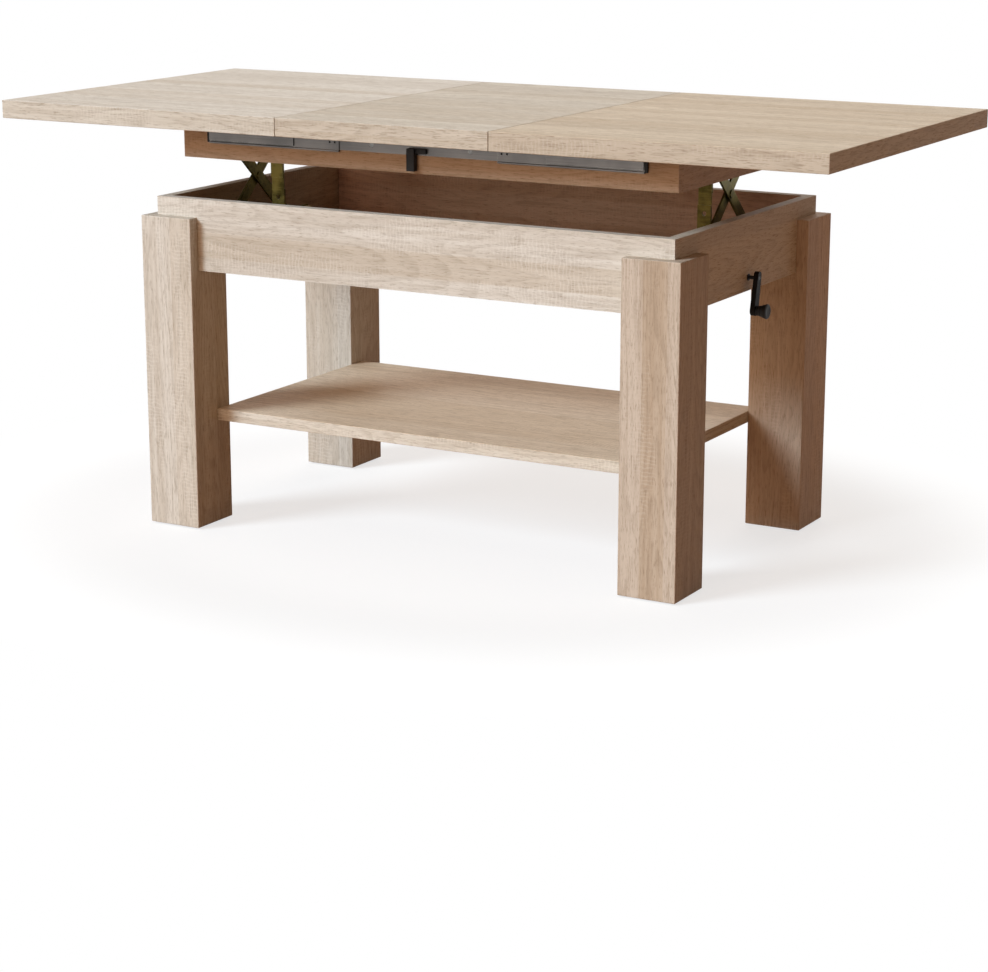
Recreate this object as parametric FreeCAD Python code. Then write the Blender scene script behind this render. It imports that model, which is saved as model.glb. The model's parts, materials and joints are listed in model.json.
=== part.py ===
import FreeCAD, Part
import math
import os

# Extending coffee table with a crank-driven scissor lift, shown raised and pulled out with its insert in.
# Millimetres, +Z up, origin on the ground under the middle of the table, X along the table, crank at +X.
# The two lift units are the same unit: the left one is the right one turned half round about Z.

# Table top
TOP_THICKNESS = 30.0
TOP_REST_GAP = 2.0
TOP_WIDTH = 682.0
LEAF_LENGTH = 555.0
INSERT_LENGTH = 390.0
SEAM = 0.8
BOARD_EDGE_ROUND = 1.2

# Travel of the joints
LIFT = 120.0
LEAF_RELEASE = 25.0

# Legs and their glides
LEG_SPAN_X = 1000.0
LEG_SPAN_Y = 590.0
LEG_SIZE = 100.0
LEG_BELOW_FRAME_TOP = 31.0
LEG_PROUD = 20.0
LEG_EDGE_ROUND = 1.5
GLIDE_RADIUS = 16.0
GLIDE_HEIGHT = 2.0
GLIDE_PIN_RADIUS = 2.0
GLIDE_PIN_LENGTH = 14.0

# Box frame under the top
FRAME_TOP = 565.0
FRAME_HEIGHT = 120.0
FRAME_PANEL = 18.0
FLOOR_THICKNESS = 10.0
FLOOR_ABOVE_EDGE = 2.0
GROOVE_DEPTH = 6.0
GROOVE_CLEARANCE = 0.2

# Lower shelf
SHELF_TOP = 200.0
SHELF_THICKNESS = 20.0
SHELF_WIDTH = 466.0
SHELF_DOWEL_SHARES = (0.3, 0.7)

# Wooden dowels and bolts of the frame
DOWEL_RADIUS = 4.0
DOWEL_LENGTH = 28.0
DOWEL_CLEARANCE = 0.05
FRAME_DOWEL_INSET = 32.0
BOLT_SHANK_RADIUS = 3.0
BOLT_HEAD_RADIUS = 7.0
BOLT_HEAD_HEIGHT = 3.0
BOLT_GRIP_IN_LEG = 14.0
BOLT_ABOVE_FRAME_EDGE = 22.0
BOLT_FROM_LEG_FACE = 30.0

# Carrier frame that lifts and bears the leaves
CARRIER_END_GAP = 2.5
CARRIER_WIDTH = 444.0
CARRIER_DEPTH = 60.0
CARRIER_PANEL = 18.0
CARRIER_TOP_GAP = 0.4
CARRIER_DOWEL_INSET = 18.0
BATTEN_HEIGHT = 46.0
BATTEN_THICKNESS = 18.0

# Scissor arms: flat steel bars in two layers, one lift unit near each end of the table
ARM_LENGTH = 236.0
ARM_WIDTH = 20.0
ARM_THICKNESS = 4.0
ARM_LAYER_GAP = 1.0
UNIT_FROM_END_PANEL = 60.0
FIXED_PIVOT_Y = 180.0
LOWER_PIVOT_RISE = 48.0
UPPER_PIVOT_DROP = 24.0
PIN_RADIUS = 4.0
PIN_CLEARANCE = 0.08
PIN_HEAD_RADIUS = 7.0
PIN_HEAD_HEIGHT = 2.0

# Steel rails that hold the pins of the scissors
RAIL_SHEET = 3.0
RAIL_STANDOFF = 2.5
RAIL_MARGIN = 14.0
RAIL_TOP_MARGIN = 8.0
RAIL_FOOT = 28.0
SLOT_END_ROOM = 2.0
SLOT_CLEARANCE = 0.3
UPPER_RAIL_BELOW_PIVOT = 20.0
UPPER_RAIL_ABOVE_PIVOT = 18.0

# Drive: crank, long shaft, two mitre gearboxes, two screws and their nuts
SHAFT_RISE = 10.0
SHAFT_RADIUS = 3.0
SHAFT_CLEARANCE = 0.08
SHAFT_HOLE_ROOM = 2.0
SCREW_RADIUS = 5.0
SCREW_LEAD = 5.0
SCREW_SEAT = 7.0
GEARBOX_X = 32.0
GEARBOX_Y = 36.0
GEARBOX_HEIGHT = 20.0
NUT_SIDE_GAP = 1.0
NUT_THICKNESS = 11.0
NUT_GEARBOX_GAP = 13.0
NUT_LENGTH = 20.0
NUT_FLOOR_GAP = 1.0
NUT_HALF_HEIGHT = 9.0
BEARING_LENGTH = 12.0
BEARING_WIDTH = 22.0
SCREW_RUN_OUT = 6.0

# Crank outside the right-hand end panel
BUSH_FLANGE_RADIUS = 5.5
BUSH_FLANGE = 1.5
BUSH_WALL = 1.5
CRANK_STANDOFF = 12.0
CRANK_ARM_THICKNESS = 8.0
CRANK_ARM_LENGTH = 52.0
CRANK_HEAD_RISE = 4.0
CRANK_HUB_RADIUS = 6.5
CRANK_TIP_RADIUS = 8.5
CRANK_REST_TILT = 11.0
KNOB_NECK_RADIUS = 8.5
KNOB_RADIUS = 13.0
KNOB_LENGTH = 20.0
KNOB_PIN_RADIUS = 3.0
KNOB_CLEARANCE = 0.08
KNOB_GAP = 0.3
KNOB_ROUND = 2.5

# Telescopic strips that steady the lift, in three layers
GUIDE_WIDTH = 24.0
GUIDE_SHEET = 2.5
GUIDE_LAYER_GAP = 0.3
GUIDE_Y = 88.0
GUIDE_BATTEN_GAP = 0.5
GUIDE_FLANGE = 25.0
GUIDE_FLANGE_BELOW_TOP = 40.0
GUIDE_TOP_GAP = 2.0
GUIDE_FLOOR_GAP = 6.0
GUIDE_OVERLAP = 36.0
GUIDE_HOLE_RADIUS = 4.0
GUIDE_HOLE_DROP = 14.0

# Telescopic runners of the leaves, on the long faces of the carrier
RUNNER_BELOW_TOP = 18.5
RUNNER_FIXED_END_INSET = 56.5
RUNNER_FIXED_HEIGHT = 24.0
RUNNER_FIXED_SHEET = 3.0
RUNNER_GAP = 0.3
RUNNER_MIDDLE_INNER_X = 148.0
RUNNER_MIDDLE_SHEET = 1.6
RUNNER_MIDDLE_LIP = 3.0
RUNNER_LEAF_INNER_X = 235.0
RUNNER_LEAF_END_INSET = 56.5
RUNNER_LEAF_SHEET = 2.0
RUNNER_LEAF_HEIGHT = 20.0
RUNNER_FLANGE = 18.0
RUNNER_HOLE_RADIUS = 2.2
RUNNER_HOLE_INSET = 7.0
RUNNER_HOLE_PITCH = 10.0
RUNNER_EDGE_ROUND = 0.6
RUNNER_ROLL_OUT = 1.5
RUNNER_ROLL_HEIGHT = 2.6
RUNNER_CAP_LENGTH = 5.0
RUNNER_CAP_GAP = 0.5
RUNNER_CAP_INSET = 1.2
LEAF_SCREW_SHARES = (0.12, 0.5, 0.88)
FIXED_SCREW_SHARES = (-0.9, -0.55, -0.24, 0.215, 0.55, 0.9)

# Black stop in the middle of each runner
STOP_X = -8.0
STOP_BELOW_TOP = 19.5
STOP_WIDTH = 14.0
STOP_HEIGHT = 36.0
STOP_DEPTH = 10.0
STOP_ARM_LENGTH = 19.0
STOP_ARM_HEIGHT = 8.0

# Blocks under the insert that keep it in line
LOCATOR_LENGTH = 30.0
LOCATOR_WIDTH = 10.0
LOCATOR_HEIGHT = 12.0
LOCATOR_GAP = 0.4
LOCATOR_FROM_END = 45.0

# Small wood screws
SCREW_SHANK = 2.0
SCREW_HEAD = 4.0
SCREW_HEAD_HEIGHT = 1.5
SCREW_GRIP = 9.0
SCREW_HOLE_CLEARANCE = 0.05
RAIL_SCREW_INSET = 25.0
CUT_OVERRUN = 1.0
EDGE_MATCH = 0.001

# Heights and half sizes worked out from the sizes above
TOP_UNDERSIDE = FRAME_TOP + TOP_REST_GAP + LIFT
TOP_HEIGHT = TOP_UNDERSIDE + TOP_THICKNESS
LEG_TOP = FRAME_TOP - LEG_BELOW_FRAME_TOP
FRAME_BOTTOM = FRAME_TOP - FRAME_HEIGHT
FRAME_HALF_X = LEG_SPAN_X / 2 - LEG_PROUD
FRAME_HALF_Y = LEG_SPAN_Y / 2 - LEG_PROUD
FRAME_INNER_X = FRAME_HALF_X - FRAME_PANEL
FRAME_INNER_Y = FRAME_HALF_Y - FRAME_PANEL
FLOOR_BOTTOM = FRAME_BOTTOM + FLOOR_ABOVE_EDGE
FLOOR_TOP = FLOOR_BOTTOM + FLOOR_THICKNESS
LEG_INNER_X = LEG_SPAN_X / 2 - LEG_SIZE
LEG_INNER_Y = LEG_SPAN_Y / 2 - LEG_SIZE
CARRIER_HALF_X = FRAME_INNER_X - CARRIER_END_GAP
CARRIER_HALF_Y = CARRIER_WIDTH / 2
CARRIER_INNER_Y = CARRIER_HALF_Y - CARRIER_PANEL
CARRIER_TOP = TOP_UNDERSIDE - CARRIER_TOP_GAP
CARRIER_BOTTOM = CARRIER_TOP - CARRIER_DEPTH
UNIT_X = FRAME_INNER_X - UNIT_FROM_END_PANEL
LOWER_PIVOT_Z = FLOOR_TOP + LOWER_PIVOT_RISE
UPPER_PIVOT_Z = TOP_UNDERSIDE - UPPER_PIVOT_DROP
SHAFT_Z = FLOOR_TOP + SHAFT_RISE
GEARBOX_TOP = FLOOR_TOP + GEARBOX_HEIGHT

# Scissor angles when raised and when lowered, and the places that follow from them
RAISED_ANGLE = math.asin((UPPER_PIVOT_Z - LOWER_PIVOT_Z) / ARM_LENGTH)
LOWERED_ANGLE = math.asin((UPPER_PIVOT_Z - LOWER_PIVOT_Z - LIFT) / ARM_LENGTH)
SLIDE_RAISED_Y = FIXED_PIVOT_Y - ARM_LENGTH * math.cos(RAISED_ANGLE)
SLIDE_LOWERED_Y = FIXED_PIVOT_Y - ARM_LENGTH * math.cos(LOWERED_ANGLE)
CROSS_Y = (FIXED_PIVOT_Y + SLIDE_RAISED_Y) / 2
CROSS_Z = (LOWER_PIVOT_Z + UPPER_PIVOT_Z) / 2
NUT_RAISED_Y = -GEARBOX_Y / 2 - NUT_GEARBOX_GAP - NUT_LENGTH / 2
NUT_LOWERED_Y = NUT_RAISED_Y + SLIDE_LOWERED_Y - SLIDE_RAISED_Y
SCREW_TURNS = (SLIDE_RAISED_Y - SLIDE_LOWERED_Y) / SCREW_LEAD


def lift_mismatch(share):
    """How far an evenly turning arm's tip is above an evenly sinking carrier, at a share of the travel."""
    angle = RAISED_ANGLE + (LOWERED_ANGLE - RAISED_ANGLE) * share
    return ARM_LENGTH * math.sin(angle) - (UPPER_PIVOT_Z - LOWER_PIVOT_Z - LIFT * share)


MISMATCH_STEPS = 24
UPPER_PLAY = max(lift_mismatch(step / MISMATCH_STEPS) for step in range(MISMATCH_STEPS + 1))

# Layers of the right-hand lift unit along X, from the inside out
ARM_B_X = UNIT_X - ARM_LAYER_GAP / 2 - ARM_THICKNESS
ARM_A_X = UNIT_X + ARM_LAYER_GAP / 2
BASE_RAIL_X = ARM_A_X + ARM_THICKNESS + RAIL_STANDOFF
UPPER_RAIL_X = ARM_B_X - RAIL_STANDOFF - RAIL_SHEET - PIN_HEAD_HEIGHT
BATTEN_X = UPPER_RAIL_X - BATTEN_THICKNESS
NUT_X = ARM_B_X - NUT_SIDE_GAP - NUT_THICKNESS
DRIVE_X = NUT_X + NUT_THICKNESS / 2
GUIDE_X = BATTEN_X - GUIDE_BATTEN_GAP - GUIDE_WIDTH

# Runners, from the carrier's long faces outwards and along them
RUNNER_FIXED_END_X = CARRIER_HALF_X - RUNNER_FIXED_END_INSET
RUNNER_MIDDLE_END_X = RUNNER_FIXED_END_X + RUNNER_CAP_GAP
RUNNER_LEAF_END_X = CARRIER_HALF_X - RUNNER_LEAF_END_INSET
RUNNER_Z = TOP_UNDERSIDE - RUNNER_BELOW_TOP
RUNNER_MIDDLE_FACE = RUNNER_FIXED_SHEET + RUNNER_GAP
RUNNER_LEAF_FACE = RUNNER_MIDDLE_FACE + RUNNER_MIDDLE_SHEET + RUNNER_GAP
RUNNER_LEAF_OUTER = RUNNER_LEAF_FACE + RUNNER_LEAF_SHEET

X_AXIS = FreeCAD.Vector(1, 0, 0)
Y_AXIS = FreeCAD.Vector(0, 1, 0)
Z_AXIS = FreeCAD.Vector(0, 0, 1)
ORIGIN = FreeCAD.Vector(0, 0, 0)
SIDES = (-1, 1)
SIDE_NAMES = {-1: "left", 1: "right"}
DEPTH_NAMES = {-1: "front", 1: "rear"}
PARTS = {}


def box(x0, x1, y0, y1, z0, z1):
    """A block between two values along each axis, given in either order."""
    low = FreeCAD.Vector(min(x0, x1), min(y0, y1), min(z0, z1))
    return Part.makeBox(abs(x1 - x0), abs(y1 - y0), abs(z1 - z0), low)


def rod(radius, start, direction, length):
    """A round bar from a point along a direction."""
    return Part.makeCylinder(radius, length, start, direction)


def soften(shape, radius):
    """Round all the edges of a board."""
    return shape.makeFillet(radius, shape.Edges)


def half_turn(shape):
    """The same shape turned half round about the table's upright axis."""
    turned = shape.copy()
    turned.rotate(ORIGIN, Z_AXIS, 180)
    return turned


def on_side(shape, side):
    """A shape made for the right-hand unit, placed on the side asked for."""
    return shape if side > 0 else half_turn(shape)


def add(name, *solids):
    """Keep one node: a single solid, or a group of separate ones."""
    PARTS[name] = solids[0] if len(solids) == 1 else Part.makeCompound(list(solids))


def wood_screw(at, into):
    """A screw whose head sits on a surface at a point and whose shank goes in along a direction."""
    head = rod(SCREW_HEAD, at - into * SCREW_HEAD_HEIGHT, into, SCREW_HEAD_HEIGHT)
    return head.fuse(rod(SCREW_SHANK, at, into, SCREW_GRIP)).removeSplitter()


def screw_hole(at, into):
    """The hole that a wood screw's shank needs, from its head's seat inwards."""
    length = SCREW_GRIP + 2 * CUT_OVERRUN
    return rod(SCREW_SHANK + SCREW_HOLE_CLEARANCE, at - into * CUT_OVERRUN, into, length)


def head_seat(at, into):
    """The recess that sinks a wood screw's head below a surface."""
    start = at - into * (SCREW_HEAD_HEIGHT + CUT_OVERRUN)
    return rod(SCREW_HEAD + SCREW_HOLE_CLEARANCE, start, into, SCREW_HEAD_HEIGHT + CUT_OVERRUN)


def drill(shape, holes):
    """A shape with a list of holes cut out of it."""
    return shape.cut(holes) if holes else shape


def dowel(centre, direction):
    """A dowel centred on a point."""
    return rod(DOWEL_RADIUS, centre - direction * (DOWEL_LENGTH / 2), direction, DOWEL_LENGTH)


def dowel_hole(centre, direction):
    """The hole for a dowel, a little wider and longer than it."""
    length = DOWEL_LENGTH + 2 * DOWEL_CLEARANCE
    return rod(DOWEL_RADIUS + DOWEL_CLEARANCE, centre - direction * (length / 2), direction, length)


def slot(y0, y1, z0, z1, x0, x1):
    """A round-ended slot along Y through a sheet that stands across X."""
    radius = (z1 - z0) / 2
    middle = box(x0, x1, y0 + radius, y1 - radius, z0, z1)
    centres = [FreeCAD.Vector(x0, y, z0 + radius) for y in (y0 + radius, y1 - radius)]
    ends = [rod(radius, centre, X_AXIS, x1 - x0) for centre in centres]
    return middle.fuse(ends)


# Table top: two leaves and a loose insert between them
def build_top():
    half_insert = INSERT_LENGTH / 2
    half_width = TOP_WIDTH / 2
    insert = box(-half_insert + SEAM / 2, half_insert - SEAM / 2, -half_width, half_width,
                 TOP_UNDERSIDE, TOP_HEIGHT)
    add("insert_panel", soften(insert, BOARD_EDGE_ROUND))
    locator_y = CARRIER_INNER_Y - LOCATOR_GAP
    locators = []
    for side in SIDES:
        for depth in SIDES:
            x = side * (half_insert - LOCATOR_FROM_END)
            inner_y = depth * (locator_y - LOCATOR_WIDTH)
            locators.append(box(x - LOCATOR_LENGTH / 2, x + LOCATOR_LENGTH / 2, inner_y, depth * locator_y,
                                TOP_UNDERSIDE - LOCATOR_HEIGHT, TOP_UNDERSIDE))
    add("insert_locators", *locators)
    for side in SIDES:
        inner = side * (half_insert + SEAM / 2)
        outer = side * (half_insert + LEAF_LENGTH)
        leaf = soften(box(inner, outer, -half_width, half_width, TOP_UNDERSIDE, TOP_HEIGHT), BOARD_EDGE_ROUND)
        runners, screws, holes = leaf_runners(side)
        add("leaf_" + SIDE_NAMES[side], drill(leaf, holes))
        add("leaf_runners_" + SIDE_NAMES[side], *runners)
        add("leaf_runner_screws_" + SIDE_NAMES[side], *screws)


# Runners: a fixed rail on the carrier, a middle rail that wraps it, and a leaf rail under the leaf

def leaf_runners(side):
    """The two leaf rails of one leaf, their screws, and the screws' holes in the leaf."""
    runners, screws, holes = [], [], []
    inner = side * RUNNER_LEAF_INNER_X
    outer = side * RUNNER_LEAF_END_X
    for depth in SIDES:
        face = depth * (CARRIER_HALF_Y + RUNNER_LEAF_FACE)
        back = depth * (CARRIER_HALF_Y + RUNNER_LEAF_OUTER)
        edge = depth * (CARRIER_HALF_Y + RUNNER_LEAF_OUTER + RUNNER_FLANGE)
        web = box(inner, outer, face, back, RUNNER_Z - RUNNER_LEAF_HEIGHT / 2, TOP_UNDERSIDE)
        flange = box(inner, outer, face, edge, TOP_UNDERSIDE - RUNNER_LEAF_SHEET, TOP_UNDERSIDE)
        seat_z = TOP_UNDERSIDE - RUNNER_LEAF_SHEET
        places = [FreeCAD.Vector(inner + (outer - inner) * share, (back + edge) / 2, seat_z)
                  for share in LEAF_SCREW_SHARES]
        own_holes = [screw_hole(place, Z_AXIS) for place in places]
        runners.append(drill(web.fuse(flange).removeSplitter(), own_holes))
        screws += [wood_screw(place, Z_AXIS) for place in places]
        holes += own_holes
    return runners, screws, holes


def middle_runner(side, depth):
    """One middle rail: a shallow channel that wraps the fixed rail's edges."""
    inner = side * RUNNER_MIDDLE_INNER_X
    outer = side * RUNNER_MIDDLE_END_X
    half = RUNNER_FIXED_HEIGHT / 2 + RUNNER_GAP
    face = CARRIER_HALF_Y + RUNNER_MIDDLE_FACE
    back = face + RUNNER_MIDDLE_SHEET
    lip = CARRIER_HALF_Y + RUNNER_GAP
    outside = half + RUNNER_MIDDLE_LIP
    rail = box(inner, outer, depth * lip, depth * back, RUNNER_Z - outside, RUNNER_Z + outside)
    rolled = depth * (back + RUNNER_ROLL_OUT)
    roll = box(inner, outer, depth * lip, rolled, RUNNER_Z - outside, RUNNER_Z - outside + RUNNER_ROLL_HEIGHT)
    rail = rail.fuse(roll).removeSplitter()
    rail = rail.makeFillet(RUNNER_EDGE_ROUND, long_edges(rail, depth * back) + long_edges(rail, rolled))
    hollow = box(inner - side * CUT_OVERRUN, outer + side * CUT_OVERRUN, depth * (lip - CUT_OVERRUN),
                 depth * face, RUNNER_Z - half, RUNNER_Z + half)
    holes = []
    for inset in (RUNNER_HOLE_INSET, RUNNER_HOLE_INSET + RUNNER_HOLE_PITCH):
        hole_at = FreeCAD.Vector(inner + side * inset, -CARRIER_WIDTH, RUNNER_Z)
        holes.append(rod(RUNNER_HOLE_RADIUS, hole_at, Y_AXIS, 2 * CARRIER_WIDTH))
    return drill(rail, [hollow] + holes)


def long_edges(shape, y):
    """The edges along X of a bar, on its face at one value of Y."""
    return [edge for edge in shape.Edges if all(abs(vertex.Y - y) < EDGE_MATCH for vertex in edge.Vertexes)
            and abs(edge.tangentAt(edge.FirstParameter).x) > EDGE_MATCH]


def runner_cap(side, depth):
    """The stop cap on the outer end of a middle rail."""
    start = side * RUNNER_MIDDLE_END_X
    outside = RUNNER_FIXED_HEIGHT / 2 + RUNNER_GAP + RUNNER_MIDDLE_LIP - RUNNER_CAP_INSET
    back = CARRIER_HALF_Y + RUNNER_MIDDLE_FACE + RUNNER_MIDDLE_SHEET
    return box(start, start + side * RUNNER_CAP_LENGTH, depth * (CARRIER_HALF_Y + RUNNER_GAP), depth * back,
               RUNNER_Z - outside, RUNNER_Z + outside)


def build_runners():
    screws, stops, rails, panel_holes = [], [], [], {}
    for depth in SIDES:
        face = depth * CARRIER_HALF_Y
        out = depth * (CARRIER_HALF_Y + RUNNER_FIXED_SHEET)
        half = RUNNER_FIXED_HEIGHT / 2
        rail = box(-RUNNER_FIXED_END_X, RUNNER_FIXED_END_X, face, out, RUNNER_Z - half, RUNNER_Z + half)
        inward = Y_AXIS * -depth
        seat = depth * (CARRIER_HALF_Y + RUNNER_FIXED_SHEET - SCREW_HEAD_HEIGHT)
        places = [FreeCAD.Vector(depth * RUNNER_FIXED_END_X * share, seat, RUNNER_Z)
                  for share in FIXED_SCREW_SHARES]
        holes = [screw_hole(place, inward) for place in places]
        rails.append(drill(rail, holes + [head_seat(place, inward) for place in places]))
        screws += [wood_screw(place, inward) for place in places]
        panel_holes[depth] = holes
        stops.append(centre_stop(depth))
    for side in SIDES:
        add("runner_middle_" + SIDE_NAMES[side], *[middle_runner(side, depth) for depth in SIDES])
        add("runner_caps_" + SIDE_NAMES[side], *[runner_cap(side, depth) for depth in SIDES])
    add("runner_fixed", *rails)
    add("runner_stops", *stops)
    return screws, panel_holes


def centre_stop(depth):
    """A stop that hangs over the fixed rail, with a short catch along it."""
    x = -depth * STOP_X
    face = depth * (CARRIER_HALF_Y + RUNNER_FIXED_SHEET)
    out = depth * (CARRIER_HALF_Y + RUNNER_FIXED_SHEET + STOP_DEPTH)
    top = TOP_UNDERSIDE - STOP_BELOW_TOP
    body = box(x - STOP_WIDTH / 2, x + STOP_WIDTH / 2, face, out, top - STOP_HEIGHT, top)
    catch_end = x - depth * (STOP_WIDTH / 2 + STOP_ARM_LENGTH)
    catch = box(x, catch_end, face, (face + out) / 2, top - STOP_ARM_HEIGHT, top)
    return body.fuse(catch).removeSplitter()


# Carrier: four boards, two battens that take the lift, and the upper rails of the scissors
def build_carrier(panel_holes):
    dowels, dowel_holes = [], []
    dowel_x = CARRIER_HALF_X - CARRIER_PANEL / 2
    for side in SIDES:
        for depth in SIDES:
            for z in (CARRIER_BOTTOM + CARRIER_DOWEL_INSET, CARRIER_TOP - CARRIER_DOWEL_INSET):
                centre = FreeCAD.Vector(side * dowel_x, depth * CARRIER_INNER_Y, z)
                dowels.append(dowel(centre, Y_AXIS))
                dowel_holes.append(dowel_hole(centre, Y_AXIS))
    add("carrier_dowels", *dowels)
    for depth in SIDES:
        panel = box(-CARRIER_HALF_X, CARRIER_HALF_X, depth * CARRIER_INNER_Y, depth * CARRIER_HALF_Y,
                    CARRIER_BOTTOM, CARRIER_TOP)
        add("carrier_%s_panel" % DEPTH_NAMES[depth], drill(panel, dowel_holes + panel_holes[depth]))
    for side in SIDES:
        panel = box(side * CARRIER_HALF_X, side * (CARRIER_HALF_X - CARRIER_PANEL), -CARRIER_INNER_Y,
                    CARRIER_INNER_Y, CARRIER_BOTTOM, CARRIER_TOP)
        add("carrier_%s_panel" % SIDE_NAMES[side], drill(panel, dowel_holes))


def upper_rail_screw_places():
    """Where the screws of the right-hand upper rail sit, on the rail's face towards the arms."""
    y0, y1 = rail_span()
    z = UPPER_PIVOT_Z - UPPER_RAIL_BELOW_PIVOT / 2
    inset = RAIL_MARGIN / 2
    return [FreeCAD.Vector(UPPER_RAIL_X + RAIL_SHEET, y, z) for y in (y0 + inset, y1 - inset)]


def rail_span():
    """How far the scissor rails of the right-hand unit run along Y."""
    reach = PIN_RADIUS + SLOT_END_ROOM + RAIL_MARGIN
    return SLIDE_LOWERED_Y - reach, FIXED_PIVOT_Y + reach


def pin_slot(z_low, z_high, x0):
    """The slot for a sliding pin, over its whole travel."""
    half = PIN_RADIUS + SLOT_CLEARANCE
    return slot(SLIDE_LOWERED_Y - half - SLOT_END_ROOM, SLIDE_RAISED_Y + half + SLOT_END_ROOM, z_low - half,
                z_high + half, x0 - CUT_OVERRUN, x0 + RAIL_SHEET + CUT_OVERRUN)


def build_upper_rails():
    screws = []
    y0, y1 = rail_span()
    rail = box(UPPER_RAIL_X, UPPER_RAIL_X + RAIL_SHEET, y0, y1, UPPER_PIVOT_Z - UPPER_RAIL_BELOW_PIVOT,
               UPPER_PIVOT_Z + UPPER_RAIL_ABOVE_PIVOT)
    half = PIN_RADIUS + SLOT_CLEARANCE
    upright = box(UPPER_RAIL_X - CUT_OVERRUN, UPPER_RAIL_X + RAIL_SHEET + CUT_OVERRUN, FIXED_PIVOT_Y - half,
                  FIXED_PIVOT_Y + half, UPPER_PIVOT_Z - half, UPPER_PIVOT_Z + UPPER_PLAY + half)
    sliding = pin_slot(UPPER_PIVOT_Z, UPPER_PIVOT_Z + UPPER_PLAY, UPPER_RAIL_X)
    batten = box(BATTEN_X, UPPER_RAIL_X, -CARRIER_INNER_Y, CARRIER_INNER_Y,
                 CARRIER_TOP - BATTEN_HEIGHT, CARRIER_TOP)
    relief_reach = FIXED_PIVOT_Y + PIN_HEAD_RADIUS + SLOT_END_ROOM
    relief = box(UPPER_RAIL_X - PIN_HEAD_HEIGHT - CUT_OVERRUN, UPPER_RAIL_X, SLIDE_LOWERED_Y - PIN_HEAD_RADIUS
                 - SLOT_END_ROOM, relief_reach, UPPER_PIVOT_Z - PIN_HEAD_RADIUS - SLOT_CLEARANCE,
                 UPPER_PIVOT_Z + UPPER_PLAY + PIN_HEAD_RADIUS + SLOT_CLEARANCE)
    inward = X_AXIS * -1
    holes = [screw_hole(place, inward) for place in upper_rail_screw_places()]
    heads = [wood_screw(place, inward) for place in upper_rail_screw_places()]
    for side in SIDES:
        screws += [on_side(head, side) for head in heads]
    rail = drill(rail, [upright, sliding] + holes)
    batten = drill(batten, [relief] + holes)
    add("upper_rails", *[on_side(rail, side) for side in SIDES])
    add("carrier_battens", *[on_side(batten, side) for side in SIDES])
    return screws


# Scissors: two crossed arms in each unit, with their pins
def flat_bar():
    """A bar along +Y from its first pivot, in the layer from x = 0, with holes at its ends and mid-way."""
    half = ARM_WIDTH / 2
    ends = [rod(half, FreeCAD.Vector(0, y, 0), X_AXIS, ARM_THICKNESS) for y in (0, ARM_LENGTH)]
    bar = box(0, ARM_THICKNESS, 0, ARM_LENGTH, -half, half).fuse(ends).removeSplitter()
    bore = PIN_RADIUS + PIN_CLEARANCE
    holes = [rod(bore, FreeCAD.Vector(-CUT_OVERRUN, y, 0), X_AXIS, ARM_THICKNESS + 2 * CUT_OVERRUN)
             for y in (0, ARM_LENGTH / 2, ARM_LENGTH)]
    return drill(bar, holes)


def headed_pin(x0, x1, y, z, head_at_x0, head_at_x1):
    """A pin across X with a flat head outside either end."""
    pin = rod(PIN_RADIUS, FreeCAD.Vector(x0, y, z), X_AXIS, x1 - x0)
    heads = []
    if head_at_x0:
        head_at = FreeCAD.Vector(x0 - PIN_HEAD_HEIGHT, y, z)
        heads.append(rod(PIN_HEAD_RADIUS, head_at, X_AXIS, PIN_HEAD_HEIGHT))
    if head_at_x1:
        heads.append(rod(PIN_HEAD_RADIUS, FreeCAD.Vector(x1, y, z), X_AXIS, PIN_HEAD_HEIGHT))
    return pin.fuse(heads).removeSplitter()


def build_scissors():
    angle = math.degrees(RAISED_ANGLE)
    arm_a = flat_bar()
    arm_a.rotate(ORIGIN, X_AXIS, 180 - angle)
    arm_a.translate(FreeCAD.Vector(ARM_A_X, FIXED_PIVOT_Y, LOWER_PIVOT_Z))
    arm_b = flat_bar()
    arm_b.rotate(ORIGIN, X_AXIS, angle)
    arm_b.translate(FreeCAD.Vector(ARM_B_X, SLIDE_RAISED_Y, LOWER_PIVOT_Z))
    gap = PIN_CLEARANCE
    base_out = BASE_RAIL_X + RAIL_SHEET + gap
    arm_a_out = ARM_A_X + ARM_THICKNESS + gap
    lower_fixed = headed_pin(ARM_A_X - gap, base_out, FIXED_PIVOT_Y, LOWER_PIVOT_Z, False, True)
    cross = headed_pin(ARM_B_X - gap, arm_a_out, CROSS_Y, CROSS_Z, True, True)
    upper_slide = headed_pin(UPPER_RAIL_X - gap, arm_a_out, SLIDE_RAISED_Y, UPPER_PIVOT_Z, True, True)
    lower_slide = headed_pin(NUT_X - gap, base_out, SLIDE_RAISED_Y, LOWER_PIVOT_Z, False, True)
    arm_b_out = ARM_B_X + ARM_THICKNESS
    upper_fixed = headed_pin(UPPER_RAIL_X - gap, arm_b_out, FIXED_PIVOT_Y, UPPER_PIVOT_Z, True, False)
    for side in SIDES:
        name = SIDE_NAMES[side]
        add("scissor_arm_a_" + name, on_side(arm_a, side))
        add("scissor_arm_b_" + name, on_side(arm_b, side))
        add("scissor_pins_a_" + name, *[on_side(pin, side) for pin in (lower_fixed, cross, upper_slide)])
        add("scissor_pins_b_" + name, *[on_side(pin, side) for pin in (lower_slide, upper_fixed)])


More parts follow.
